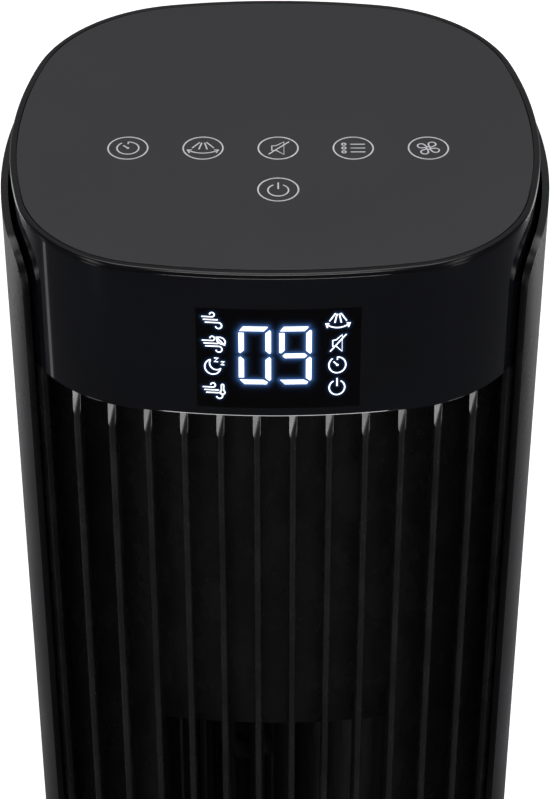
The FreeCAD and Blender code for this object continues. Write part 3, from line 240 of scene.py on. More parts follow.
def plan():
    """The tower's plan as tangent arcs, counter-clockwise, twice round from the middle of the front."""
    tower = settings().tower
    front = Vector((0, tower.front_radius - tower.half_depth))
    rear = Vector((0, tower.half_depth - tower.rear_radius))
    side = Vector((tower.half_width - tower.side_radius, -tower.side_centre))
    low = meeting(front, tower.front_radius - tower.front_corner,
                  side, tower.side_radius - tower.front_corner)
    high = meeting(rear, tower.rear_radius - tower.rear_corner,
                   side, tower.side_radius - tower.rear_corner)
    joints = [-BACK] + [math.atan2(there.y - here.y, there.x - here.x) for here, there
                        in ((front, low), (side, low), (side, high), (rear, high))] + [BACK]
    circles = [(front, tower.front_radius), (low, tower.front_corner), (side, tower.side_radius),
               (high, tower.rear_corner), (rear, tower.rear_radius)]
    right = [Arc(centre, radius, joints[index], joints[index + 1])
             for index, (centre, radius) in enumerate(circles)]
    left = [Arc(Vector((-arc.centre.x, arc.centre.y)), arc.radius, math.pi - arc.end,
                math.pi - arc.start) for arc in reversed(right)]
    once = right + left
    return once + [Arc(arc.centre, arc.radius, arc.start + TURN, arc.end + TURN) for arc in once]


def on_plan(angle, offset, height=0.0):
    """The point of the plan, grown by offset, that faces angle."""
    arc = next(arc for arc in plan() if arc.start - 1e-9 <= angle <= arc.end + 1e-9)
    reach = arc.radius + offset
    return Vector((arc.centre.x + reach * math.cos(angle), arc.centre.y + reach * math.sin(angle),
                   height))


def facing_at_x(x, offset):
    """The direction that the front half of the plan faces at a distance x to the right."""
    for arc in plan()[:3]:
        share = (abs(x) - arc.centre.x) / (arc.radius + offset)
        angle = -math.acos(max(-1.0, min(1.0, share)))
        if arc.start - 1e-9 <= angle <= arc.end + 1e-9:
            return angle
    raise ValueError(f"the plan's front doesn't reach {x / MM:.1f} mm from the middle")


def front_y(x, offset):
    """How far back the plan's front lies at a distance x to the right."""
    return on_plan(facing_at_x(x, offset), offset).y


def facing_at_y(y, offset):
    """The direction that the right-hand side of the plan faces at a distance y."""
    for arc in plan()[:5]:
        share = (y - arc.centre.y) / (arc.radius + offset)
        if abs(share) <= 1:
            angle = math.asin(share)
            if arc.start - 1e-9 <= angle <= arc.end + 1e-9:
                return angle
    raise ValueError(f"the plan's side doesn't reach y = {y / MM:.1f} mm")


def stretches(first, last):
    """The parts of the plan's arcs between two directions."""
    for arc in plan():
        start = max(first, arc.start)
        end = min(last, arc.end)
        if end - start > 1e-6:
            yield arc, start, end


def run_length(first, last, offset):
    """Distance along the plan, grown by offset, between two directions."""
    return sum((arc.radius + offset) * (end - start) for arc, start, end in stretches(first, last))


# ---------------------------------------------------------------- mesh helpers

def soften(bm, edges, width, segments):
    """Rounds edges."""
    bmesh.ops.bevel(bm, geom=list(edges), offset=width, offset_type="OFFSET", affect="EDGES",
                    segments=segments, profile=0.5, material=-1, clamp_overlap=True)


def round_corners(bm, verts, radius, segments):
    """Rounds corners of flat faces."""
    bmesh.ops.bevel(bm, geom=verts, offset=radius, affect="VERTICES", segments=segments, profile=0.5,
                    material=-1, clamp_overlap=True)


def sharp_edges(bm):
    """Edges where two faces meet at a clear angle."""
    limit = math.radians(40)
    return [edge for edge in bm.edges
            if len(edge.link_faces) == 2 and edge.calc_face_angle(0.0) > limit]


def block(low, high, edge=0.0):
    """A box between two corners, with rounded edges."""
    bm = bmesh.new()
    low, high = Vector(low), Vector(high)
    bmesh.ops.create_cube(bm, size=1.0)
    bmesh.ops.scale(bm, vec=high - low, verts=bm.verts)
    bmesh.ops.translate(bm, vec=(low + high) / 2, verts=bm.verts)
    if edge:
        soften(bm, bm.edges, edge, 2)
    return bm


def with_ends(edges):
    """Edges after their end points, as spin takes them."""
    return list(dict.fromkeys(vert for edge in edges for vert in edge.verts)) + edges


def profile_edges(bm, points, rounds):
    """A closed profile's edges, after the corners in rounds have taken their radius."""
    verts = [bm.verts.new(point) for point in points]
    bm.faces.new(verts)
    for index, radius in rounds.items():
        round_corners(bm, [verts[index]], radius, 5)
    face = max(bm.faces, key=lambda one: one.calc_area())
    edges = list(face.edges)
    bmesh.ops.delete(bm, geom=[face], context="FACES_ONLY")
    return edges


def lathe(bm, points, rounds, steps):
    """Turns a closed profile of (radius, height) all the way round the upright axis."""
    edges = profile_edges(bm, [(radius, 0, height) for radius, height in points], rounds)
    bmesh.ops.spin(bm, geom=with_ends(edges), cent=(0, 0, 0), axis=(0, 0, 1), angle=TURN, steps=steps,
                   use_merge=True)


def steps_round(arc, start, end):
    """How many straight steps follow a stretch of an arc."""
    return max(1, math.ceil(arc.radius * (end - start) / settings().tower.facet))


def carry(bm, edges, first, last):
    """Spins a profile round the plan, arc by arc, and gives its edges at the far end."""
    geometry = with_ends(edges)
    for arc, start, end in stretches(first, last):
        made = bmesh.ops.spin(bm, geom=geometry, cent=arc.centre.to_3d(), axis=(0, 0, 1),
                              angle=end - start, steps=steps_round(arc, start, end), use_merge=False)
        geometry = made["geom_last"]
    return [item for item in geometry if isinstance(item, bmesh.types.BMEdge)]


def upright_wall(offset, low, high, first, last):
    """A thin upright surface that follows the plan between two directions."""
    bm = bmesh.new()
    start = on_plan(first, offset)
    ends = [bm.verts.new((start.x, start.y, z)) for z in (low, high)]
    carry(bm, [bm.edges.new(ends)], first, last)
    return bm


def sweep(bm, profile, rounds, first, last):
    """Carries a closed profile of (offset, height) round the plan; a whole turn closes on itself."""
    edges = profile_edges(bm, [on_plan(first, offset, height) for offset, height in profile], rounds)
    far = carry(bm, edges, first, last)
    if last - first < TURN - 1e-6:
        bmesh.ops.edgeloop_fill(bm, edges=edges)
        bmesh.ops.edgeloop_fill(bm, edges=far)
    bmesh.ops.remove_doubles(bm, verts=bm.verts, dist=WELD)


def cut(bm, place, direction):
    """Divides every face along a plane."""
    bmesh.ops.bisect_plane(bm, geom=bm.verts[:] + bm.edges[:] + bm.faces[:], dist=1e-7,
                           plane_co=place, plane_no=direction)


def drop_faces(bm, inside):
    """Removes the faces whose middle passes a test."""
    gone = [face for face in bm.faces if inside(face.calc_center_median())]
    bmesh.ops.delete(bm, geom=gone, context="FACES")


def finish_mesh(bm, name, material, recalculate=True):
    """Makes an object of a bmesh, with smooth faces and even normals."""
    bmesh.ops.remove_doubles(bm, verts=bm.verts, dist=WELD)
    if recalculate:
        bmesh.ops.recalc_face_normals(bm, faces=bm.faces)
    mesh = bpy.data.meshes.new(name)
    bm.to_mesh(mesh)
    bm.free()
    mesh.shade_smooth()
    mesh.set_sharp_from_angle(angle=math.radians(50))
    mesh.materials.append(material)
    piece = bpy.data.objects.new(name, mesh)
    bpy.context.scene.collection.objects.link(piece)
    even = piece.modifiers.new("Even normals", "WEIGHTED_NORMAL")
    even.keep_sharp = True
    return piece


def seat(piece, body, slot, *nodes):
    """Puts a piece on its body in place of CAD nodes, which it hides; slot is not used."""
    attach(piece, body)
    if nodes:
        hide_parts(*nodes)


# ---------------------------------------------------------------- materials

# Where the noise's values start and end for nearly all of a surface
NOISE_LOW = 0.3
NOISE_HIGH = 0.7


def add_node(tree, kind, values=None, links=None):
    """Adds a node; values names its sockets or settings, links says which output feeds which socket."""
    node = tree.nodes.new(kind)
    for name, value in (values or {}).items():
        if isinstance(name, str) and name in node.bl_rna.properties:
            setattr(node, name, value)
        else:
            node.inputs[name].default_value = value
    for name, source in (links or {}).items():
        tree.links.new(source, node.inputs[name])
    return node


def start_material(name, values):
    """A new material with one surface shader whose uniform values are set on its own sockets."""
    material = bpy.data.materials.new(name)
    material.use_nodes = True
    tree = material.node_tree
    tree.nodes.clear()
    shader = add_node(tree, "ShaderNodeBsdfPrincipled", values)
    add_node(tree, "ShaderNodeOutputMaterial", links={"Surface": shader.outputs["BSDF"]})
    place = add_node(tree, "ShaderNodeTexCoord").outputs["Object"]
    return material, shader, place


def add_layer(shader, place, size, ranges=None, depth=0.0, detail=3.0, stretch=(1, 1, 1)):
    """Noise about size metres across; it moves sockets between two values and raises the surface."""
    tree = shader.id_data
    scaled = add_node(tree, "ShaderNodeMapping", {"Scale": stretch}, {"Vector": place})
    noise = add_node(tree, "ShaderNodeTexNoise", {"Scale": 1 / size, "Detail": detail, "Roughness": 0.6},
                     {"Vector": scaled.outputs["Vector"]}).outputs["Fac"]
    for socket, (low, high) in (ranges or {}).items():
        if isinstance(low, tuple):
            ramp = add_node(tree, "ShaderNodeValToRGB", links={"Fac": noise})
            for index, (position, tone) in enumerate(((NOISE_LOW, low), (NOISE_HIGH, high))):
                ramp.color_ramp.elements[index].position = position
                ramp.color_ramp.elements[index].color = (*tone, 1)
            varied = ramp.outputs["Color"]
        else:
            span = {"From Min": NOISE_LOW, "From Max": NOISE_HIGH, "To Min": low, "To Max": high}
            varied = add_node(tree, "ShaderNodeMapRange", span, {"Value": noise}).outputs["Result"]
        tree.links.new(varied, shader.inputs[socket])
    if depth:
        normal = shader.inputs["Normal"]
        links = {"Height": noise}
        if normal.is_linked:
            links["Normal"] = normal.links[0].from_socket
        bump = add_node(tree, "ShaderNodeBump", {"Strength": 1.0, "Distance": depth}, links)
        tree.links.new(bump.outputs["Normal"], normal)


def one_layer(name, values, size, ranges, depth=0.0, detail=3.0, stretch=(1, 1, 1)):
    """A material whose whole finish follows one pattern."""
    material, shader, place = start_material(name, values)
    add_layer(shader, place, size, ranges, depth, detail, stretch)
    return material


def shade(base, factor):
    """A colour made darker or lighter."""
    return tuple(part * factor for part in base)


def moulded_plastic(name, base, rough, grain, depth, specular=0.5):
    """Injection-moulded plastic: fine spark-eroded grain, slow waves, and patches of handling wear."""
    material, shader, place = start_material(name, {"IOR": 1.5, "Specular IOR Level": specular})
    add_layer(shader, place, 38 * MM, {"Base Color": (shade(base, 0.88), shade(base, 1.14)),
                                       "Roughness": rough}, 0.04 * MM)
    add_layer(shader, place, grain, depth=depth, detail=1.0)
    return material


def polished_abs():
    """Black ABS from a polished mould: deep, with a soft haze where hands have rubbed it."""
    return moulded_plastic("polished_black_abs", settings().colours.shell, (0.24, 0.34), 0.9 * MM,
                           0.002 * MM, 0.42)


def rim_abs():
    """High-gloss black ABS: a crisp bright line along its rounded edge."""
    return moulded_plastic("gloss_black_abs", settings().colours.rim, (0.12, 0.2), 0.8 * MM,
                           0.001 * MM, 0.32)


def grained_abs():
    """Textured black ABS of the base and foot: a coarse leather-like mould grain that hides scuffs."""
    return moulded_plastic("grained_black_abs", settings().colours.base, (0.42, 0.55), 0.8 * MM,
                           0.018 * MM)


def inner_abs():
    """Unpainted black ABS inside the tower, duller than the skin."""
    return moulded_plastic("inner_black_abs", linear("#0c0c0d"), (0.5, 0.62), 0.7 * MM, 0.012 * MM)


def dusty_abs():
    """Satin black ABS of the grille: fine grain, with a little pale dust that has settled on it."""
    material, shader, place = start_material("satin_black_abs", {"IOR": 1.5, "Specular IOR Level": 0.4})
    base = settings().colours.grille
    add_layer(shader, place, 9 * MM, {"Base Color": (shade(base, 0.8), shade(base, 1.35)),
                                      "Roughness": (0.2, 0.32)}, detail=4.0, stretch=(1, 1, 0.5))
    add_layer(shader, place, 0.5 * MM, depth=0.006 * MM, detail=2.0)
    tree = material.node_tree
    specks = add_node(tree, "ShaderNodeTexVoronoi", {"Scale": 1 / (3.2 * MM), "Randomness": 1.0},
                      {"Vector": place})
    dust = add_node(tree, "ShaderNodeMapRange",
                    {"From Min": 0.03, "From Max": 0.09, "To Min": 0.5, "To Max": 0.0},
                    {"Value": specks.outputs["Distance"]})
    colour_in = shader.inputs["Base Color"]
    dusted = add_node(tree, "ShaderNodeMix", {"data_type": "RGBA", 7: (*linear("#6f6f6c"), 1)},
                      {0: dust.outputs["Result"], 6: colour_in.links[0].from_socket})
    tree.links.new(dusted.outputs[2], colour_in)
    return material


def smoked_acrylic():
    """Smoked acrylic over black: nearly a mirror, with the faint waviness of a moulded window."""
    material, shader, place = start_material(
        "smoked_acrylic", {"IOR": 1.49, "Coat Weight": 0.6, "Coat Roughness": 0.03, "Coat IOR": 1.49,
                           "Specular IOR Level": 0.3})
    base = settings().colours.lens
    add_layer(shader, place, 30 * MM, {"Base Color": (shade(base, 0.9), shade(base, 1.25))},
              0.015 * MM, detail=2.0)
    add_layer(shader, place, 7 * MM, {"Roughness": (0.05, 0.12)}, detail=4.0, stretch=(1, 1, 0.4))
    return material


def display_film():
    """Black film behind the acrylic, lit blue round the segments by light that strays in it."""
    material, shader, place = start_material(
        "display_film", {"IOR": 1.49, "Roughness": 0.12, "Specular IOR Level": 0.3,
                         "Emission Strength": 1.0})
    add_layer(shader, place, 12 * MM, {"Base Color": (linear("#020203"), linear("#050508"))}, detail=2.0)
    tree = material.node_tree
    stray = add_node(tree, "ShaderNodeAttribute", {"attribute_name": "glow"})
    halo = add_node(tree, "ShaderNodeMix", {"data_type": "RGBA", 6: (0, 0, 0, 1),
                                            7: (*settings().colours.halo, 1)},
                    {0: stray.outputs["Fac"]})
    tree.links.new(halo.outputs[2], shader.inputs["Emission Color"])
    return material


def lit_segment():
    """White LED light through a diffusing film: even, with a breath of blue at the edges."""
    light = settings().colours.light
    return one_layer("white_led_light", {"Base Color": (0.8, 0.8, 0.8, 1), "Roughness": 0.4,
                                         "Emission Strength": 1.5},
                     2.5 * MM, {"Emission Color": (shade(light, 0.93), light)}, 0.002 * MM, detail=1.0)


def matt_plate():
    """Matt-lacquered plastic: fine even grain that turns light into a broad grey sheen."""
    material, shader, place = start_material("matt_lacquered_plate",
                                             {"IOR": 1.5, "Specular IOR Level": 0.5})
    base = settings().colours.plate
    add_layer(shader, place, 45 * MM, {"Base Color": (shade(base, 0.94), shade(base, 1.07)),
                                       "Roughness": (0.46, 0.54)})
    add_layer(shader, place, 0.45 * MM, depth=0.006 * MM, detail=2.0)
    return material


def screen_ink():
    """Screen-printed grey ink: flat, and a touch uneven where the mesh left it thin."""
    base = settings().colours.ink
    return one_layer("screen_printed_ink", {"IOR": 1.45}, 1.2 * MM,
                     {"Base Color": (shade(base, 0.88), base), "Roughness": (0.5, 0.62)},
                     0.003 * MM, detail=2.0)


def impeller_nylon():
    """Glass-filled nylon of the impeller: dark grey with a fibrous, slightly streaked surface."""
    return one_layer("glass_filled_nylon", {"IOR": 1.53}, 1.2 * MM,
                     {"Base Color": (linear("#0b0b0c"), linear("#131314")), "Roughness": (0.45, 0.6)},
                     0.01 * MM, stretch=(1, 1, 0.15))


def natural_nylon():
    """Unfilled nylon of the gears: milky, faintly translucent and waxy."""
    return one_layer("natural_nylon", {"IOR": 1.53, "Subsurface Weight": 0.15,
                                       "Subsurface Scale": 2 * MM},
                     6 * MM, {"Base Color": (linear("#d8d3c4"), linear("#ebe7dc")),
                              "Roughness": (0.32, 0.44)}, 0.01 * MM)


def soft_rubber():
    """Moulded rubber of the feet and mounts: dead matt, with a bloom that greys its edges."""
    return one_layer("moulded_rubber", {"IOR": 1.52, "Specular IOR Level": 0.3}, 3 * MM,
                     {"Base Color": (linear("#101011"), linear("#262627")), "Roughness": (0.7, 0.9)},
                     0.02 * MM, detail=4.0)


def plain_metal(name, dark, light, rough, size, depth, stretch=(1, 1, 1), coat=0.0):
    """A metal whose finish shows as a pattern of a real size."""
    return one_layer(name, {"Metallic": 1.0, "Coat Weight": coat}, size,
                     {"Base Color": (linear(dark), linear(light)), "Roughness": rough}, depth,
                     stretch=stretch)


def blackened_screw():
    """Black-phosphated steel screws: dark, oily, with grey wear on the slot."""
    return plain_metal("black_phosphated_steel", "#1c1c1e", "#3a3a3d", (0.35, 0.5), 0.6 * MM, 0.01 * MM)


def ground_shaft():
    """Ground steel shafts: bright, with rings left by the grinding wheel."""
    return plain_metal("ground_steel", "#a9acb0", "#cfd2d5", (0.18, 0.3), 1.5 * MM, 0.002 * MM,
                       (0.2, 0.2, 4))


def laminated_steel():
    """Stacked electrical steel of the motor core, coarser than its real half-millimetre sheets."""
    return plain_metal("laminated_motor_steel", "#3d3c3b", "#7c7a77", (0.35, 0.5), 2 * MM, 0.05 * MM,
                       (0.05, 0.05, 2))


def cast_aluminium():
    """Die-cast aluminium bells: a grey, lightly pitted skin."""
    return plain_metal("die_cast_aluminium", "#8f9194", "#b9bbbe", (0.4, 0.55), 1.4 * MM, 0.03 * MM)


def enamelled_copper():
    """Enamelled copper windings: amber turns side by side, under a clear varnish."""
    return plain_metal("enamelled_copper_wire", "#7a3617", "#c26a34", (0.22, 0.38), 1.2 * MM, 0.12 * MM,
                       (0.6, 0.6, 2.5), coat=0.4)


def sintered_bronze():
    """Oil-filled sintered bronze bushes: brown-gold with open pores."""
    return plain_metal("sintered_bronze", "#6d5230", "#a58350", (0.35, 0.5), 0.5 * MM, 0.02 * MM)


def circuit_board():
    """Glass-epoxy board under green solder mask, with the weave just showing."""
    material, shader, place = start_material("green_circuit_board", {"IOR": 1.55, "Coat Weight": 0.3})
    tree = material.node_tree
    weave = add_node(tree, "ShaderNodeTexBrick", {"Scale": 1 / (2.4 * MM), "Mortar Size": 0.03,
                                                  "Color1": (*linear("#0f4a2c"), 1),
                                                  "Color2": (*linear("#135636"), 1),
                                                  "Mortar": (*linear("#0a3a22"), 1)}, {"Vector": place})
    tree.links.new(weave.outputs["Color"], shader.inputs["Base Color"])
    add_layer(shader, place, 2 * MM, {"Roughness": (0.3, 0.42)}, 0.01 * MM, detail=2.0)
    return material


def studio_floor():
    """Seamless pale paper under the fan."""
    pale = settings().colours.floor
    return one_layer("pale_studio_paper", {"Specular IOR Level": 0.1, "Emission Strength": 0.85}, 2 * MM,
                     {"Base Color": (shade(pale, 0.985), pale), "Emission Color": (shade(pale, 0.985), pale),
                      "Roughness": (0.85, 0.95)}, detail=2.0)


FINISHES = {
    "shell_plastic": polished_abs,
    "grille_plastic": dusty_abs,
    "lens_acrylic": smoked_acrylic,
    "cap_plastic": rim_abs,
    "touch_plastic": matt_plate,
    "base_plastic": grained_abs,
    "inner_plastic": inner_abs,
    "impeller_plastic": impeller_nylon,
    "gear_nylon": natural_nylon,
    "rubber": soft_rubber,
    "screw_steel": blackened_screw,
    "shaft_steel": ground_shaft,
    "motor_steel": laminated_steel,
    "motor_aluminium": cast_aluminium,
    "copper_wire": enamelled_copper,
    "bronze": sintered_bronze,
    "circuit_board": circuit_board,
    "display_light": lit_segment,
}
made_materials = {}


def finish_of(slot):
    """The material of a slot, made once."""
    if slot not in made_materials:
        made_materials[slot] = FINISHES[slot]()
    return made_materials[slot]


# ---------------------------------------------------------------- line drawings
# Each symbol is a list of strokes; a stroke is a list of points in millimetres from its middle

def bow(x, y, radius, start, end, steps=18):
    """Points along an arc, in millimetres and degrees; end below start runs clockwise."""
    return [(x + radius * math.cos(math.radians(start + (end - start) * step / steps)),
             y + radius * math.sin(math.radians(start + (end - start) * step / steps)))
            for step in range(steps + 1)]


def timer_symbol():
    return [[(0, 1.8)] + bow(0, 0, 2.75, 90, -235, 40), [(-1.2, 1.2), (0, 0)], bow(0, 0, 0.2, 0, 360, 8)]


def swing_symbol():
    strokes = [[(side * 0.85, 2.6), (side * 2.75, 0.0)] for side in (-1, 1)]
    strokes += [[(side * 0.35, 2.4), (side * 1.05, -0.6)] for side in (-1, 1)]
    strokes.append(bow(0, 3.9, 6.2, 230, 310, 16))
    for side in (-1, 1):
        strokes.append([(side * 2.8, -0.85), (side * 3.95, -0.8), (side * 3.35, -2.25)])
    return strokes


def mute_symbol():
    horn = [(-1.6, -1.05), (-1.6, 0.95), (-0.5, 1.1), (1.45, 2.8), (1.45, -2.9), (-0.5, -1.05),
            (-1.6, -1.05)]
    return [horn, [(-2.4, -2.8), (2.75, 2.9)]]


def power_symbol():
    return [bow(0, -0.3, 2.55, 118, 422, 32), [(0, 3.0), (0, 0.2)]]


def mode_symbol():
    strokes = []
    for row in (-1, 0, 1):
        strokes.append(bow(-2.35, row * 1.75, 0.5, 0, 360, 14))
        strokes.append([(-0.7, row * 1.75), (3.0, row * 1.75)])
    return strokes


def fan_symbol():
    strokes = [bow(0, 0, 0.55, 0, 360, 16)]
    for quarter in range(4):
        turn = Matrix.Rotation(quarter * BACK, 2)
        blade = bow(1.0, 1.75, 0.95, -60, 200, 16) + [(0.25, 0.55)]
        blade = [(0.6, 0.45)] + blade
        strokes.append([tuple(turn @ Vector(point)) for point in blade])
    return strokes


def wind_strokes():
    return [[(-3.4, 1.35), (0.0, 1.35)] + bow(0.0, 2.1, 0.75, -90, 175, 14),
            [(-2.9, 0.4), (1.9, 0.4)],
            [(-2.3, -0.55), (2.1, -0.55)] + bow(2.1, -1.55, 1.0, 90, -165, 16)]


def leaf_symbol():
    leaf = [(1.3, 2.6), (1.6, 1.2), (2.5, 0.4), (4.0, -0.1), (4.2, 1.2), (3.6, 2.2), (2.6, 2.6),
            (1.3, 2.6)]
    return wind_strokes() + [leaf, [(1.3, 2.6), (2.6, 1.3), (3.8, 0.1)]]


def sleep_symbol():
    moon = bow(0, 0.4, 2.6, 108, 350, 26) + bow(1.25, 1.65, 2.25, 308, 155, 18)
    letters = [[(x, y), (x + size, y), (x, y - size), (x + size, y - size)]
               for x, y, size in ((0.5, 3.5, 1.3), (2.7, 2.3, 1.1))]
    return [moon + moon[:1]] + letters


def warmth_symbol():
    bulb = bow(3.1, -0.35, 0.75, 120, 420, 18)
    return wind_strokes() + [bow(3.1, 2.1, 0.38, 0, 180, 8) + bulb + [(3.48, 2.1)]]


# ---------------------------------------------------------------- placing drawings

def drawn(strokes, scale, width, thickness):
    """A flat mesh of a symbol's lines, drawn in its own plane; z is its height over the surface."""
    lines = bpy.data.curves.new("lines", "CURVE")
    lines.dimensions = "3D"
    lines.bevel_depth = width / 2
    lines.bevel_resolution = 2
    lines.use_fill_caps = True
    for stroke in strokes:
        closed = (Vector(stroke[0]) - Vector(stroke[-1])).length < 1e-4
        points = stroke[:-1] if closed else stroke
        spline = lines.splines.new("POLY")
        spline.points.add(len(points) - 1)
        for point, (x, y) in zip(spline.points, points):
            point.co = (x * scale * MM, y * scale * MM, 0, 1)
        spline.use_cyclic_u = closed
    holder = bpy.data.objects.new("lines", lines)
    mesh = bpy.data.meshes.new_from_object(holder)
    bpy.data.objects.remove(holder)
    bpy.data.curves.remove(lines)
    mesh.transform(Matrix.Diagonal((1, 1, thickness / width, 1)))
    return mesh


def add_drawing(bm, mesh, move):
    """Adds a flat drawing to a bmesh, each point put in place by move."""
    before = len(bm.verts)
    bm.from_mesh(mesh)
    bpy.data.meshes.remove(mesh)
    bm.verts.ensure_lookup_table()
    for vert in bm.verts[before:]:
        vert.co = move(vert.co)


def on_band(x, height, proud):
    """The point of the glossy band's face at a distance x along it from the middle."""
    tower = settings().tower
    reach = tower.front_radius - tower.skin_inset
    angle = FRONT + x / reach
    return on_plan(angle, proud - tower.skin_inset, height)


# ---------------------------------------------------------------- the seven-segment digits

# Corner points of each segment in millimetres, from the digit's lower left corner
SEGMENTS = {
    "top": [(0.33, 19.52), (1.42, 21.18), (8.55, 21.18), (8.55, 20.77), (7.46, 19.52)],
    "bottom": [(0.33, 1.71), (7.36, 1.71), (8.6, 0.88), (8.22, 0.05), (1.8, 0.05)],
    "upper_left": [(0.1, 18.92), (1.66, 18.92), (1.66, 12.55), (0.66, 11.49), (0.14, 11.77)],
    "lower_left": [(0.14, 9.88), (0.62, 10.15), (1.66, 9.14), (1.66, 2.49), (0.1, 2.49)],
    "upper_right": [(7.93, 18.74), (9.12, 19.94), (9.55, 19.48), (9.55, 11.81), (9.12, 11.26),
                    (7.93, 12.46)],
    "lower_right": [(7.93, 9.05), (9.07, 10.11), (9.55, 9.51), (9.55, 1.85), (9.12, 1.25), (7.93, 2.35)],
    "middle": [(1.04, 10.57), (1.8, 11.4), (7.5, 11.4), (8.31, 10.57), (7.5, 9.74), (1.8, 9.74)],
}
DIGIT_HEIGHT = 21.2 * MM
# How far the film and the lit shapes stand before the band's face
FILM_LIFT = 0.02 * MM
LIT_LOW = 0.03 * MM
# The display draws its symbols narrower and taller than the printed keys
NARROWED = 0.9
RAISED = 1.06
DIGITS = [
    ("top", "bottom", "upper_left", "lower_left", "upper_right", "lower_right"),
    ("top", "bottom", "upper_left", "upper_right", "lower_right", "middle"),
]


def lit_shapes(top):
    """Each lit segment's corners on the band, as (distance along it, height)."""
    display = settings().display
    low = top - display.digit_top - DIGIT_HEIGHT
    for place, digit in enumerate(DIGITS):
        left = -display.digit_left + place * display.digit_pitch
        for name in digit:
            yield [(left + x * MM, low + height * MM) for x, height in SEGMENTS[name]]


def display_icons(top):
    """Each display icon with its middle on the band."""
    display = settings().display
    columns = [(-display.icon_left, display.left_pitch,
                [wind_strokes, leaf_symbol, sleep_symbol, warmth_symbol]),
               (display.icon_right, display.right_pitch,
                [swing_symbol, mute_symbol, timer_symbol, power_symbol])]
    for x, pitch, symbols in columns:
        for row, symbol in enumerate(symbols):
            strokes = [[(across * NARROWED, up * RAISED) for across, up in stroke]
                       for stroke in symbol()]
            yield strokes, x, top - display.first_icon - row * pitch


# ---------------------------------------------------------------- pieces

def build_plate():
    """The matt touch plate, dropped into the rim with a fine gap all round."""
    head = settings().head
    low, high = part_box("touch_plate")
    bm = upright_wall(-head.rim - head.seam, low.z, high.z, -BACK, FRONT)
    bmesh.ops.remove_doubles(bm, verts=bm.verts, dist=WELD)
    bmesh.ops.holes_fill(bm, edges=bm.edges, sides=0)
    soften(bm, [link for link in sharp_edges(bm) if link.verts[0].co.z > high.z - WELD], 0.12 * MM, 2)
    piece = finish_mesh(bm, "touch_panel", finish_of("touch_plastic"))
    seat(piece, "tower", "touch_plastic", "touch_plate")


def build_keys():
    """Printed key symbols, each in its circle."""
    head = settings().head
    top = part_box("touch_plate")[1].z
    row = [timer_symbol, swing_symbol, mute_symbol, mode_symbol, fan_symbol]
    keys = [(symbol, head.key_shift + (index - 2) * head.key_pitch, -head.key_row)
            for index, symbol in enumerate(row)]
    keys.append((power_symbol, head.key_shift, -head.power_row))
    bm = bmesh.new()
    for symbol, x, y in keys:
        circle = bow(0, 0, head.key_radius / MM / head.symbol_scale, 0, 360, 64)
        mesh = drawn(symbol() + [circle], head.symbol_scale, head.line, 2 * head.ink)
        add_drawing(bm, mesh, lambda point: point + Vector((x, y, top)))
    piece = finish_mesh(bm, "printed_keys", screen_ink())
    seat(piece, "tower", "touch_plastic")


def build_rim():
    """The gloss rim: a rounded lip, a seat for the plate and a skirt inside the band."""
    head = settings().head
    tower = settings().tower
    low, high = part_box("top_cap")
    seat_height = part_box("touch_plate")[0].z
    lip_low = high.z - head.lip
    skirt = -tower.skin_inset - tower.wall - tower.skin_inset
    skirt_inside = skirt - 2 * MM
    ledge_end = -head.rim - head.ledge
    ledge_low = seat_height - 2 * MM
    profile = [(0, lip_low), (0, high.z), (-head.rim, high.z), (-head.rim, seat_height),
               (ledge_end, seat_height), (ledge_end, ledge_low), (skirt_inside, ledge_low),
               (skirt_inside, low.z), (skirt, low.z), (skirt, lip_low)]
    bm = bmesh.new()
    sweep(bm, profile, {1: head.rim_edge, 2: 0.12 * MM, 0: 0.15 * MM}, -BACK, FRONT)
    piece = finish_mesh(bm, "gloss_rim", finish_of("cap_plastic"))
    seat(piece, "tower", "cap_plastic", "top_cap")


def build_band():
    """The glossy front band that the display shines through."""
    tower = settings().tower
    low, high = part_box("display_lens")
    outside = -tower.skin_inset
    inside = outside - tower.wall
    end = facing_at_y(high.y, outside)
    lip = outside + 0.05 * MM
    lip_high = low.z + 0.06 * MM
    face_low = low.z + 0.2 * MM
    profile = [(lip, low.z), (lip, lip_high), (outside, face_low), (outside, high.z),
               (inside, high.z), (inside, low.z)]
    bm = bmesh.new()
    sweep(bm, profile, {3: 0.2 * MM, 5: 0.2 * MM}, math.pi - end, TURN + end)
    piece = finish_mesh(bm, "glossy_band", finish_of("lens_acrylic"))
    # The fine lip along the band's lower side keeps hard edges, so it shows as a thin line
    points = piece.data.vertices
    for edge in piece.data.edges:
        first, second = (points[index].co.z - low.z for index in edge.vertices)
        if WELD < first < MM and abs(first - second) < WELD:
            edge.use_edge_sharp = True
    seat(piece, "tower", "lens_acrylic", "display_lens")


def build_window():
    """The film behind the band, with the blue glow that strays from the lit shapes."""
    display = settings().display
    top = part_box("touch_plate")[1].z
    width = display.left + display.right
    height = display.bottom - display.top
    bm = bmesh.new()
    bmesh.ops.create_grid(bm, x_segments=110, y_segments=84, size=0.5)
    bmesh.ops.scale(bm, vec=(width, height, 1), verts=bm.verts)
    middle = Vector(((display.right - display.left) / 2, top - (display.top + display.bottom) / 2, 0))
    bmesh.ops.translate(bm, vec=middle, verts=bm.verts)
    segments = lit_points([shape + shape[:1] for shape in lit_shapes(top)])
    lines = lit_points([[(x + across * MM, z + up * MM) for across, up in stroke]
                        for strokes, x, z in display_icons(top) for stroke in strokes])
    glow = bm.verts.layers.float.new("glow")
    for vert in bm.verts:
        near = math.exp(-max(0.0, segments.find(vert.co)[2]) / display.halo)
        thin = 0.55 * math.exp(-max(0.0, lines.find(vert.co)[2]) / (0.5 * display.halo))
        vert[glow] = max(near, thin)
        vert.co = on_band(vert.co.x, vert.co.y, FILM_LIFT)
    piece = finish_mesh(bm, "display_window", display_film(), recalculate=False)
    seat(piece, "tower", "lens_acrylic")


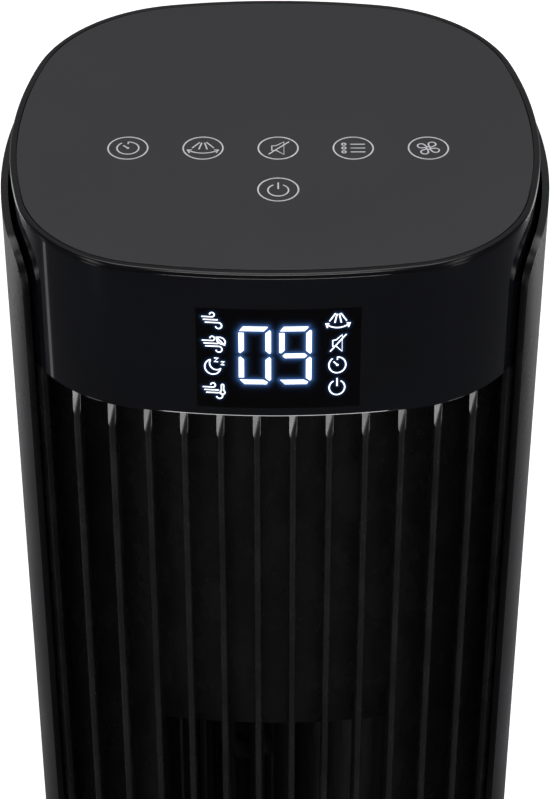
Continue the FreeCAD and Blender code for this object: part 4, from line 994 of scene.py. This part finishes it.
def lit_points(strokes):
    """A search tree of points along lines, one every fifth of a millimetre or so."""
    points = []
    for stroke in strokes:
        for here, there in zip(stroke, stroke[1:]):
            here, there = Vector(here), Vector(there)
            steps = max(1, round((there - here).length / (0.2 * MM)))
            points += [here.lerp(there, step / steps) for step in range(steps + 1)]
    tree = kdtree.KDTree(len(points))
    for index, point in enumerate(points):
        tree.insert((point.x, point.y, 0), index)
    tree.balance()
    return tree


def build_segments():
    """The lit digits: flat polygons on the band, with slightly rounded corners."""
    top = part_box("touch_plate")[1].z
    bm = bmesh.new()
    for shape in lit_shapes(top):
        verts = [bm.verts.new((x, height, LIT_LOW)) for x, height in reversed(shape)]
        bm.faces.new(verts)
        round_corners(bm, verts, 0.12 * MM, 2)
    bmesh.ops.recalc_face_normals(bm, faces=bm.faces)
    grown = bmesh.ops.extrude_face_region(bm, geom=bm.faces[:])
    rise = [item for item in grown["geom"] if isinstance(item, bmesh.types.BMVert)]
    bmesh.ops.translate(bm, vec=(0, 0, 0.04 * MM), verts=rise)
    for vert in bm.verts:
        vert.co = on_band(vert.co.x, vert.co.y, vert.co.z)
    piece = finish_mesh(bm, "lit_digits", finish_of("display_light"))
    seat(piece, "tower", "display_light")


def build_display_icons():
    """The lit symbols beside the digits."""
    display = settings().display
    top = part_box("touch_plate")[1].z
    bm = bmesh.new()
    for strokes, x, height in display_icons(top):
        mesh = drawn(strokes, 1.0, display.stroke, 0.12 * MM)
        add_drawing(bm, mesh, lambda point: on_band(point.x + x, point.y + height, point.z + LIT_LOW))
    piece = finish_mesh(bm, "lit_symbols", finish_of("display_light"))
    seat(piece, "tower", "display_light")


def add_rib(bm, x, low, high, grille, back):
    """One rib: a round nose, cut back at a slant under the head."""
    nose_y = front_y(x, -grille.rib_inset)
    rib = block((x - grille.rib_width / 2, nose_y, low), (x + grille.rib_width / 2, back, high))
    nose = [edge for edge in rib.edges
            if all(abs(vert.co.y - nose_y) < WELD for vert in edge.verts)
            and abs(edge.verts[0].co.z - edge.verts[1].co.z) > WELD]
    soften(rib, nose, grille.nose, 6)
    place = Vector((0, nose_y, high - grille.slope_height))
    direction = Vector((0, -grille.slope_height, grille.slope_depth)).normalized()
    made = bmesh.ops.bisect_plane(rib, geom=rib.verts[:] + rib.edges[:] + rib.faces[:], dist=1e-7,
                                  plane_co=place, plane_no=direction, clear_outer=True)
    edges = [item for item in made["geom_cut"] if isinstance(item, bmesh.types.BMEdge)]
    bmesh.ops.holes_fill(rib, edges=edges, sides=0)
    add_part(bm, rib)


def add_part(bm, part):
    """Joins a finished part to a mesh."""
    bmesh.ops.recalc_face_normals(part, faces=part.faces)
    mesh = bpy.data.meshes.new("part")
    part.to_mesh(mesh)
    part.free()
    bm.from_mesh(mesh)
    bpy.data.meshes.remove(mesh)


def add_grille_wall(bm, low, high, outlet_low, lip_top):
    """The recessed wall, which repeats the plan a rib's depth further back, with the outlet cut out."""
    tower = settings().tower
    grille = settings().grille
    reach = facing_at_x(grille.wall_reach, -tower.skin_inset) + BACK
    wall = upright_wall(-tower.skin_inset, low, high, FRONT - reach, FRONT + reach)
    bmesh.ops.translate(wall, vec=(0, grille.recess, 0), verts=wall.verts)
    half = grille.outlet_half_width
    for x in (-half, half):
        cut(wall, (x, 0, 0), (1, 0, 0))
    for z in (outlet_low, lip_top):
        cut(wall, (0, 0, z), (0, 0, 1))
    drop_faces(wall, lambda middle: abs(middle.x) < half and outlet_low < middle.z < lip_top)
    bmesh.ops.recalc_face_normals(wall, faces=wall.faces)
    if sum(face.normal.y * face.calc_area() for face in wall.faces) > 0:
        bmesh.ops.reverse_faces(wall, faces=wall.faces)
    bmesh.ops.solidify(wall, geom=wall.faces[:], thickness=grille.wall)
    add_part(bm, wall)


def build_grille():
    """The front: upright ribs before a recessed wall, the outlet's sleeve, its lip and tie bars."""
    tower = settings().tower
    grille = settings().grille
    low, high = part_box("front_grille")
    clearance = 3 * MM
    outlet_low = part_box("duct_floor")[1].z + clearance
    outlet_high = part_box("duct_roof")[0].z - clearance
    lip_top = outlet_high + grille.lip_height
    half = grille.outlet_half_width
    wall_y = front_y(0, -tower.skin_inset) + grille.recess
    bm = bmesh.new()
    add_grille_wall(bm, low.z, high.z, outlet_low, lip_top)
    for index in range(grille.rib_count):
        x = (index - (grille.rib_count - 1) / 2) * grille.rib_pitch
        back = front_y(x, -tower.skin_inset) + grille.recess + MM
        add_rib(bm, x, low.z, high.z, grille, min(back, high.y))
    sleeve_low = outlet_low - grille.wall
    sleeve_front = front_y(half, 0) + grille.recess
    sleeve_back = wall_y + grille.sleeve_depth
    sleeve_edge = 0.3 * MM
    for side in (-1, 1):
        xs = sorted((side * half, side * (half + grille.wall)))
        add_part(bm, block((xs[0], sleeve_front, sleeve_low),
                           (xs[1], sleeve_back, lip_top + grille.wall), sleeve_edge))
    add_part(bm, block((-half - MM, wall_y + MM, sleeve_low), (half + MM, sleeve_back, outlet_low),
                       sleeve_edge))
    add_lip(bm, outlet_high, lip_top, half, grille)
    for index in range(grille.bar_count):
        z = outlet_low + (index + 1) * (outlet_high - outlet_low) / (grille.bar_count + 1)
        add_tie_bar(bm, z, half, grille)
    add_skirts(bm, low.z, high.z)
    piece = finish_mesh(bm, "ribbed_front", finish_of("grille_plastic"))
    seat(piece, "tower", "grille_plastic", "front_grille")


def add_across(bm, profile, rounds, half, grille):
    """Carries a profile along the wall, across the outlet."""
    part = bmesh.new()
    end = facing_at_x(half + MM, -settings().tower.skin_inset) + BACK
    sweep(part, profile, rounds, FRONT - end, FRONT + end)
    bmesh.ops.translate(part, vec=(0, grille.recess, 0), verts=part.verts)
    add_part(bm, part)


def add_lip(bm, outlet_high, lip_top, half, grille):
    """The slanted lip that guides the air out under the wall."""
    front = -settings().tower.skin_inset - 0.4 * MM
    foot = front - grille.lip_depth
    top = lip_top + grille.wall
    edge = 0.4 * MM
    profile = [(foot, outlet_high), (front, top), (front - grille.wall, top),
               (foot - grille.wall, outlet_high)]
    add_across(bm, profile, {0: edge, 3: edge}, half, grille)


def add_tie_bar(bm, z, half, grille):
    """A level bar that follows the wall across the outlet."""
    front = -1.2 * MM
    back = -5 * MM
    top = z + grille.bar_height
    edge = 0.5 * MM
    add_across(bm, [(front, z), (front, top), (back, top), (back, z)], {0: edge, 1: edge}, half, grille)


def add_skirts(bm, low, high):
    """The grille's sides, which run back behind the shell's edge."""
    tower = settings().tower
    grille = settings().grille
    outside = -tower.skin_inset
    inside = outside - grille.wall
    first = facing_at_y(-settings().shell.front, outside)
    last = facing_at_y(-grille.skirt_end, outside)
    profile = [(outside, low), (outside, high), (inside, high), (inside, low)]
    for start, end in ((first, last), (math.pi - last, math.pi - first)):
        part = bmesh.new()
        sweep(part, profile, {}, start, end)
        soften(part, sharp_edges(part), 0.3 * MM, 2)
        add_part(bm, part)


def station_places(first, last, offset):
    """Distances along the plan of evenly spaced columns, which also fall where two arcs meet."""
    places = []
    run = run_length(first, BACK, offset)
    for arc, start, end in stretches(first, last):
        steps = steps_round(arc, start, end)
        for step in range(steps):
            angle = start + (end - start) * step / steps
            places.append(run_length(first, angle, offset) - run if angle > first else -run)
    return places


def facing_at_run(run, first, offset):
    """The direction faced at a distance along the plan, counted from the middle of the back."""
    left = run + run_length(first, BACK, offset)
    for arc, start, end in stretches(first, first + TURN):
        stretch = (arc.radius + offset) * (end - start)
        if left <= stretch + 1e-9:
            return start + left / (arc.radius + offset)
        left -= stretch
    raise ValueError("the distance runs past the end of the plan")


def cut_hole(bm, half_width, low, high, radius, segments):
    """Cuts a rectangle with round corners out of a flat upright panel."""
    for x in (-half_width, half_width):
        cut(bm, (x, 0, 0), (1, 0, 0))
    for z in (low, high):
        cut(bm, (0, 0, z), (0, 0, 1))
    corners = [vert for vert in bm.verts if abs(abs(vert.co.x) - half_width) < WELD
               and min(abs(vert.co.z - low), abs(vert.co.z - high)) < WELD]
    round_corners(bm, corners, radius, segments)
    drop_faces(bm, lambda middle: abs(middle.x) < half_width / 2 and low < middle.z < high)


def build_shell():
    """The wrap round the back and sides: a flat panel, cut, bent round the plan and thickened."""
    shell = settings().shell
    tower = settings().tower
    low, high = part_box("rear_shell")
    intake_low, intake_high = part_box("intake_grille")
    handle_low, handle_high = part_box("handle_cup")
    first = facing_at_y(-shell.front, shell.reach)
    half = run_length(first, BACK, shell.reach)
    bm = bmesh.new()
    bmesh.ops.create_grid(bm, x_segments=1, y_segments=1, size=1.0)
    bmesh.ops.rotate(bm, cent=(0, 0, 0), matrix=Matrix.Rotation(BACK, 3, "X"), verts=bm.verts)
    bmesh.ops.scale(bm, vec=(half, 1, (high.z - low.z) / 2), verts=bm.verts)
    bmesh.ops.translate(bm, vec=(0, 0, (high.z + low.z) / 2), verts=bm.verts)
    upper = [vert for vert in bm.verts if vert.co.z > high.z - WELD]
    round_corners(bm, upper, shell.corner, 10)
    cup_flange = 2 * MM
    middle = (handle_low.z + handle_high.z) / 2
    cut_hole(bm, handle_high.x - cup_flange, middle - shell.slot_half_height,
             middle + shell.slot_half_height, shell.slot_half_height - 0.05 * MM, 12)
    gap = 0.2 * MM
    cut_hole(bm, shell.window_half_width, intake_low.z - gap, intake_high.z + gap,
             shell.window_corner, 4)
    corners = sorted({round(vert.co.x, 6) for vert in bm.verts})
    narrowest = 0.7 * MM
    for place in station_places(first, math.pi - first, shell.reach):
        if min(abs(place - corner) for corner in corners) > narrowest:
            cut(bm, (place, 0, 0), (1, 0, 0))
    for place in corners:
        cut(bm, (place, 0, 0), (1, 0, 0))
    bmesh.ops.dissolve_degenerate(bm, dist=WELD, edges=bm.edges)
    for vert in bm.verts:
        vert.co = on_plan(facing_at_run(-vert.co.x, first, shell.reach), shell.reach, vert.co.z)
    bmesh.ops.recalc_face_normals(bm, faces=bm.faces)
    outward = sum(face.normal.dot(face.calc_center_median().xy.to_3d()) * face.calc_area()
                  for face in bm.faces)
    if outward < 0:
        bmesh.ops.reverse_faces(bm, faces=bm.faces)
    bmesh.ops.solidify(bm, geom=bm.faces[:], thickness=tower.wall)
    piece = finish_mesh(bm, "rear_wrap", finish_of("shell_plastic"))
    rounding = piece.modifiers.new("Rounded edges", "BEVEL")
    rounding.width = shell.edge
    rounding.segments = 3
    rounding.limit_method = "ANGLE"
    rounding.angle_limit = math.radians(50)
    rounding.harden_normals = False
    piece.modifiers.move(1, 0)
    seat(piece, "tower", "shell_plastic", "rear_shell")


def build_base_cover():
    """The round base: a sloped dome turned about the swivel, hollow from below."""
    base = settings().base
    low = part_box("base_plate")[0].z
    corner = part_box("base_cover")[1]
    radius = corner.x
    top = corner.z
    points = [(radius, low), (radius, base.rim_height), (base.flat_top, top), (base.hole, top),
              (base.hole, top - base.wall), (base.flat_top, top - base.wall),
              (radius - base.wall, base.rim_height - base.wall), (radius - base.wall, low)]
    inner_round = 3 * MM
    bm = bmesh.new()
    lathe(bm, points, {1: base.rim_round, 2: base.top_round, 0: 0.5 * MM, 6: inner_round,
                       5: inner_round}, 144)
    piece = finish_mesh(bm, "base_dome", finish_of("base_plastic"))
    seat(piece, "base", "base_plastic", "base_cover")


def build_foot_housing():
    """The tower's foot: a plain band under the grille and shell, with its floor and hub."""
    base = settings().base
    low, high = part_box("bottom_housing")
    outside = -settings().tower.skin_inset
    inside = outside - base.foot_wall
    ledge_end = inside - base.foot_ledge
    floor_top = low.z + base.foot_floor
    top_edge = 0.3 * MM
    bm = bmesh.new()
    profile = [(outside, low.z), (outside, high.z), (inside, high.z), (inside, floor_top),
               (ledge_end, floor_top), (ledge_end, low.z)]
    sweep(bm, profile, {0: 0.8 * MM, 1: top_edge, 2: top_edge}, -BACK, FRONT)
    add_foot_floor(bm, low.z, ledge_end + OVERLAP, base)
    piece = finish_mesh(bm, "foot_band", finish_of("base_plastic"))
    seat(piece, "tower", "base_plastic", "bottom_housing")


def add_foot_floor(bm, low, offset, base):
    """The floor inside the foot, with the hub that turns on the base's post."""
    high = low + base.foot_floor
    part = upright_wall(offset, low, high, -BACK, FRONT)
    bmesh.ops.remove_doubles(part, verts=part.verts, dist=WELD)
    rings = [edge for edge in part.edges if edge.is_boundary]
    hole = []
    for z in (low, high):
        circle = bmesh.ops.create_circle(part, cap_ends=False, segments=96, radius=base.bore)
        bmesh.ops.translate(part, vec=(0, 0, z), verts=circle["verts"])
        loop = list({link for vert in circle["verts"] for link in vert.link_edges})
        outer = [edge for edge in rings if abs(edge.verts[0].co.z - z) < WELD]
        bmesh.ops.bridge_loops(part, edges=loop + outer)
        hole += loop
    bmesh.ops.bridge_loops(part, edges=hole)
    add_part(bm, part)
    part = bmesh.new()
    hub_low = high - OVERLAP
    hub_top = low + base.hub_height
    lathe(part, [(base.bore, hub_low), (base.hub, hub_low), (base.hub, hub_top), (base.bore, hub_top)],
          {2: MM, 3: 0.5 * MM}, 96)
    add_part(bm, part)


def build_feet():
    """Six rubber feet: low discs with a rounded tread edge and a ring groove."""
    low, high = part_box("rubber_feet")
    radius = 9 * MM
    circle = high.y - radius
    pinhole = 0.2 * MM
    dish = low.z + 0.4 * MM
    points = [(pinhole, dish), (5 * MM, dish), (5.6 * MM, low.z), (radius, low.z), (radius, high.z),
              (pinhole, high.z)]
    bm = bmesh.new()
    for index in range(6):
        angle = math.radians(30 + 60 * index)
        part = bmesh.new()
        lathe(part, points, {3: 0.9 * MM, 4: 0.3 * MM, 2: 0.3 * MM}, 48)
        bmesh.ops.translate(part, vec=(circle * math.cos(angle), circle * math.sin(angle), 0),
                            verts=part.verts)
        add_part(bm, part)
    piece = finish_mesh(bm, "tread_feet", finish_of("rubber"))
    seat(piece, "base", "rubber", "rubber_feet")


def dress_frame():
    """Gives every CAD node that stays in view the finish of its slot."""
    for entry in frame["record"]["subparts"]:
        node = frame["nodes"][entry["node"]]
        node.data.materials.clear()
        node.data.materials.append(finish_of(entry["material_slot"]))


# ---------------------------------------------------------------- stage

def add_light(name, place, target, width, height, power, only_gloss=False):
    """A soft rectangular light; one that is only for gloss shows in reflections and lights nothing."""
    light = bpy.data.lights.new(name, "AREA")
    light.shape = "RECTANGLE"
    light.size = width
    light.size_y = height
    light.energy = power
    lamp = bpy.data.objects.new(name, light)
    lamp.location = place
    lamp.rotation_euler = (Vector(target) - Vector(place)).to_track_quat("-Z", "Y").to_euler()
    lamp.visible_camera = False
    lamp.visible_diffuse = not only_gloss
    bpy.context.scene.collection.objects.link(lamp)


def studio_world():
    """White to the eye; to everything else a dim room with a bright wall behind the fan."""
    world = bpy.data.worlds.new("studio")
    world.use_nodes = True
    tree = world.node_tree
    tree.nodes.clear()
    seen = add_node(tree, "ShaderNodeLightPath").outputs["Is Camera Ray"]
    direction = add_node(tree, "ShaderNodeTexCoord").outputs["Generated"]
    axes = add_node(tree, "ShaderNodeSeparateXYZ", links={"Vector": direction})
    behind = add_node(tree, "ShaderNodeMapRange",
                      {"interpolation_type": "SMOOTHSTEP", "From Min": 0.25, "From Max": 0.8},
                      {"Value": axes.outputs["Y"]})
    upper = add_node(tree, "ShaderNodeMapRange", {"From Min": -0.8, "From Max": -0.5, "To Min": 0.3},
                     {"Value": axes.outputs["Z"]})
    bright = add_node(tree, "ShaderNodeMath", {"operation": "MULTIPLY"},
                      {0: behind.outputs["Result"], 1: upper.outputs["Result"]})
    dim_room = (0.065, 0.065, 0.07, 1)
    bright_wall = (0.33, 0.33, 0.34, 1)
    room = add_node(tree, "ShaderNodeMix", {"data_type": "RGBA", 6: dim_room, 7: bright_wall},
                    {0: bright.outputs["Value"]})
    sky = add_node(tree, "ShaderNodeMix", {"data_type": "RGBA", 7: (1, 1, 1, 1)},
                   {0: seen, 6: room.outputs[2]})
    background = add_node(tree, "ShaderNodeBackground", {"Strength": 1.0}, {"Color": sky.outputs[2]})
    add_node(tree, "ShaderNodeOutputWorld", links={"Surface": background.outputs["Background"]})
    return world


def build_lights():
    """Soft boxes above, before and beside the fan; places and sizes are in metres, power in watts."""
    add_light("overhead_soft", (0, 0.3, 3.0), (0, 0.1, 1.0), 1.6, 1.6, 30)
    add_light("front_box", (0, -2.4, 1.08), (0, 0, 1.05), 1.5, 0.42, 30, only_gloss=True)
    add_light("front_high", (0, -1.6, 2.9), (0, 0, 1.0), 1.2, 0.8, 14, only_gloss=True)
    for side in (-1, 1):
        add_light(f"tall_box_back_{side}", (side * 1.8, 1.6, 0.7), (0, 0, 0.7), 0.5, 2.4, 14)
        add_light(f"tall_box_front_{side}", (side * 1.9, -1.5, 0.7), (0, 0, 0.7), 0.5, 2.4, 8,
                  only_gloss=True)
    add_light("left_strip", (-1.35, 0.28, 0.1), (0, 0, 0.9), 0.08, 1.6, 0.24, only_gloss=True)


def build_camera():
    """A long lens that looks down on the head and the top of the grille from the front."""
    camera = bpy.data.cameras.new("camera")
    camera.sensor_fit = "AUTO"
    camera.sensor_width = 36
    camera.lens = 124.8
    downwards = 38.7
    viewer = bpy.data.objects.new("camera", camera)
    viewer.location = (0, -0.712, 1.534)
    viewer.rotation_euler = (math.radians(90 - downwards), 0, 0)
    bpy.context.scene.collection.objects.link(viewer)
    bpy.context.scene.camera = viewer


def build_stage():
    """A pale floor, soft light and the camera above the front."""
    bm = bmesh.new()
    bmesh.ops.create_circle(bm, cap_ends=True, segments=96, radius=9.0)
    floor = finish_mesh(bm, "floor", studio_floor())
    floor.visible_glossy = False
    bpy.context.scene.world = studio_world()
    build_lights()
    build_camera()
    bpy.context.scene.view_settings.view_transform = "Standard"


# ---------------------------------------------------------------- operators and panel

class FAN_OT_finishes(bpy.types.Operator):
    """Give every part of the frame its own finish"""
    bl_idname = "tower_fan.finishes"
    bl_label = "Finishes"

    def execute(self, context):
        dress_frame()
        return {"FINISHED"}


class FAN_OT_shell(bpy.types.Operator):
    """Build the wrap round the back and sides"""
    bl_idname = "tower_fan.shell"
    bl_label = "Rear shell"

    def execute(self, context):
        build_shell()
        return {"FINISHED"}


class FAN_OT_grille(bpy.types.Operator):
    """Build the ribbed front with its air outlet"""
    bl_idname = "tower_fan.grille"
    bl_label = "Front grille"

    def execute(self, context):
        build_grille()
        return {"FINISHED"}


class FAN_OT_head(bpy.types.Operator):
    """Build the rim, the touch plate and the glossy band"""
    bl_idname = "tower_fan.head"
    bl_label = "Head"

    def execute(self, context):
        build_plate()
        build_rim()
        build_band()
        return {"FINISHED"}


class FAN_OT_keys(bpy.types.Operator):
    """Print the touch keys' symbols on the plate"""
    bl_idname = "tower_fan.keys"
    bl_label = "Touch keys"

    def execute(self, context):
        build_keys()
        return {"FINISHED"}


class FAN_OT_display(bpy.types.Operator):
    """Light the display's window, digits and symbols"""
    bl_idname = "tower_fan.display"
    bl_label = "Display"

    def execute(self, context):
        build_window()
        build_segments()
        build_display_icons()
        return {"FINISHED"}


class FAN_OT_base(bpy.types.Operator):
    """Build the round base, its feet and the tower's foot"""
    bl_idname = "tower_fan.base"
    bl_label = "Base"

    def execute(self, context):
        build_base_cover()
        build_feet()
        build_foot_housing()
        return {"FINISHED"}


class FAN_OT_stage(bpy.types.Operator):
    """Set the floor, the lights and the camera"""
    bl_idname = "tower_fan.stage"
    bl_label = "Stage"

    def execute(self, context):
        build_stage()
        return {"FINISHED"}


OPERATORS = (FAN_OT_finishes, FAN_OT_shell, FAN_OT_grille, FAN_OT_head, FAN_OT_keys, FAN_OT_display,
             FAN_OT_base, FAN_OT_stage)


class FAN_PT_panel(bpy.types.Panel):
    """The steps that build the fan, in order"""
    bl_label = "Tower Fan"
    bl_idname = "FAN_PT_panel"
    bl_space_type = "VIEW_3D"
    bl_region_type = "UI"
    bl_category = "Tower Fan"

    def draw(self, context):
        for operator in OPERATORS:
            self.layout.operator(operator.bl_idname)


CLASSES = (TowerSizes, ShellSizes, GrilleSizes, HeadSizes, DisplaySizes, BaseSizes, FanColours,
           FanSettings) + OPERATORS + (FAN_PT_panel,)


def register():
    for one in CLASSES:
        bpy.utils.register_class(one)
    bpy.types.Scene.tower_fan = PointerProperty(type=FanSettings)


def unregister():
    del bpy.types.Scene.tower_fan
    for one in reversed(CLASSES):
        bpy.utils.unregister_class(one)


def main():
    """Builds the whole fan: registers the settings and runs every step in order."""
    register()
    for operator in OPERATORS:
        name = operator.bl_idname.split(".")[1]
        getattr(bpy.ops.tower_fan, name)()


if __name__ == "__main__":
    main()
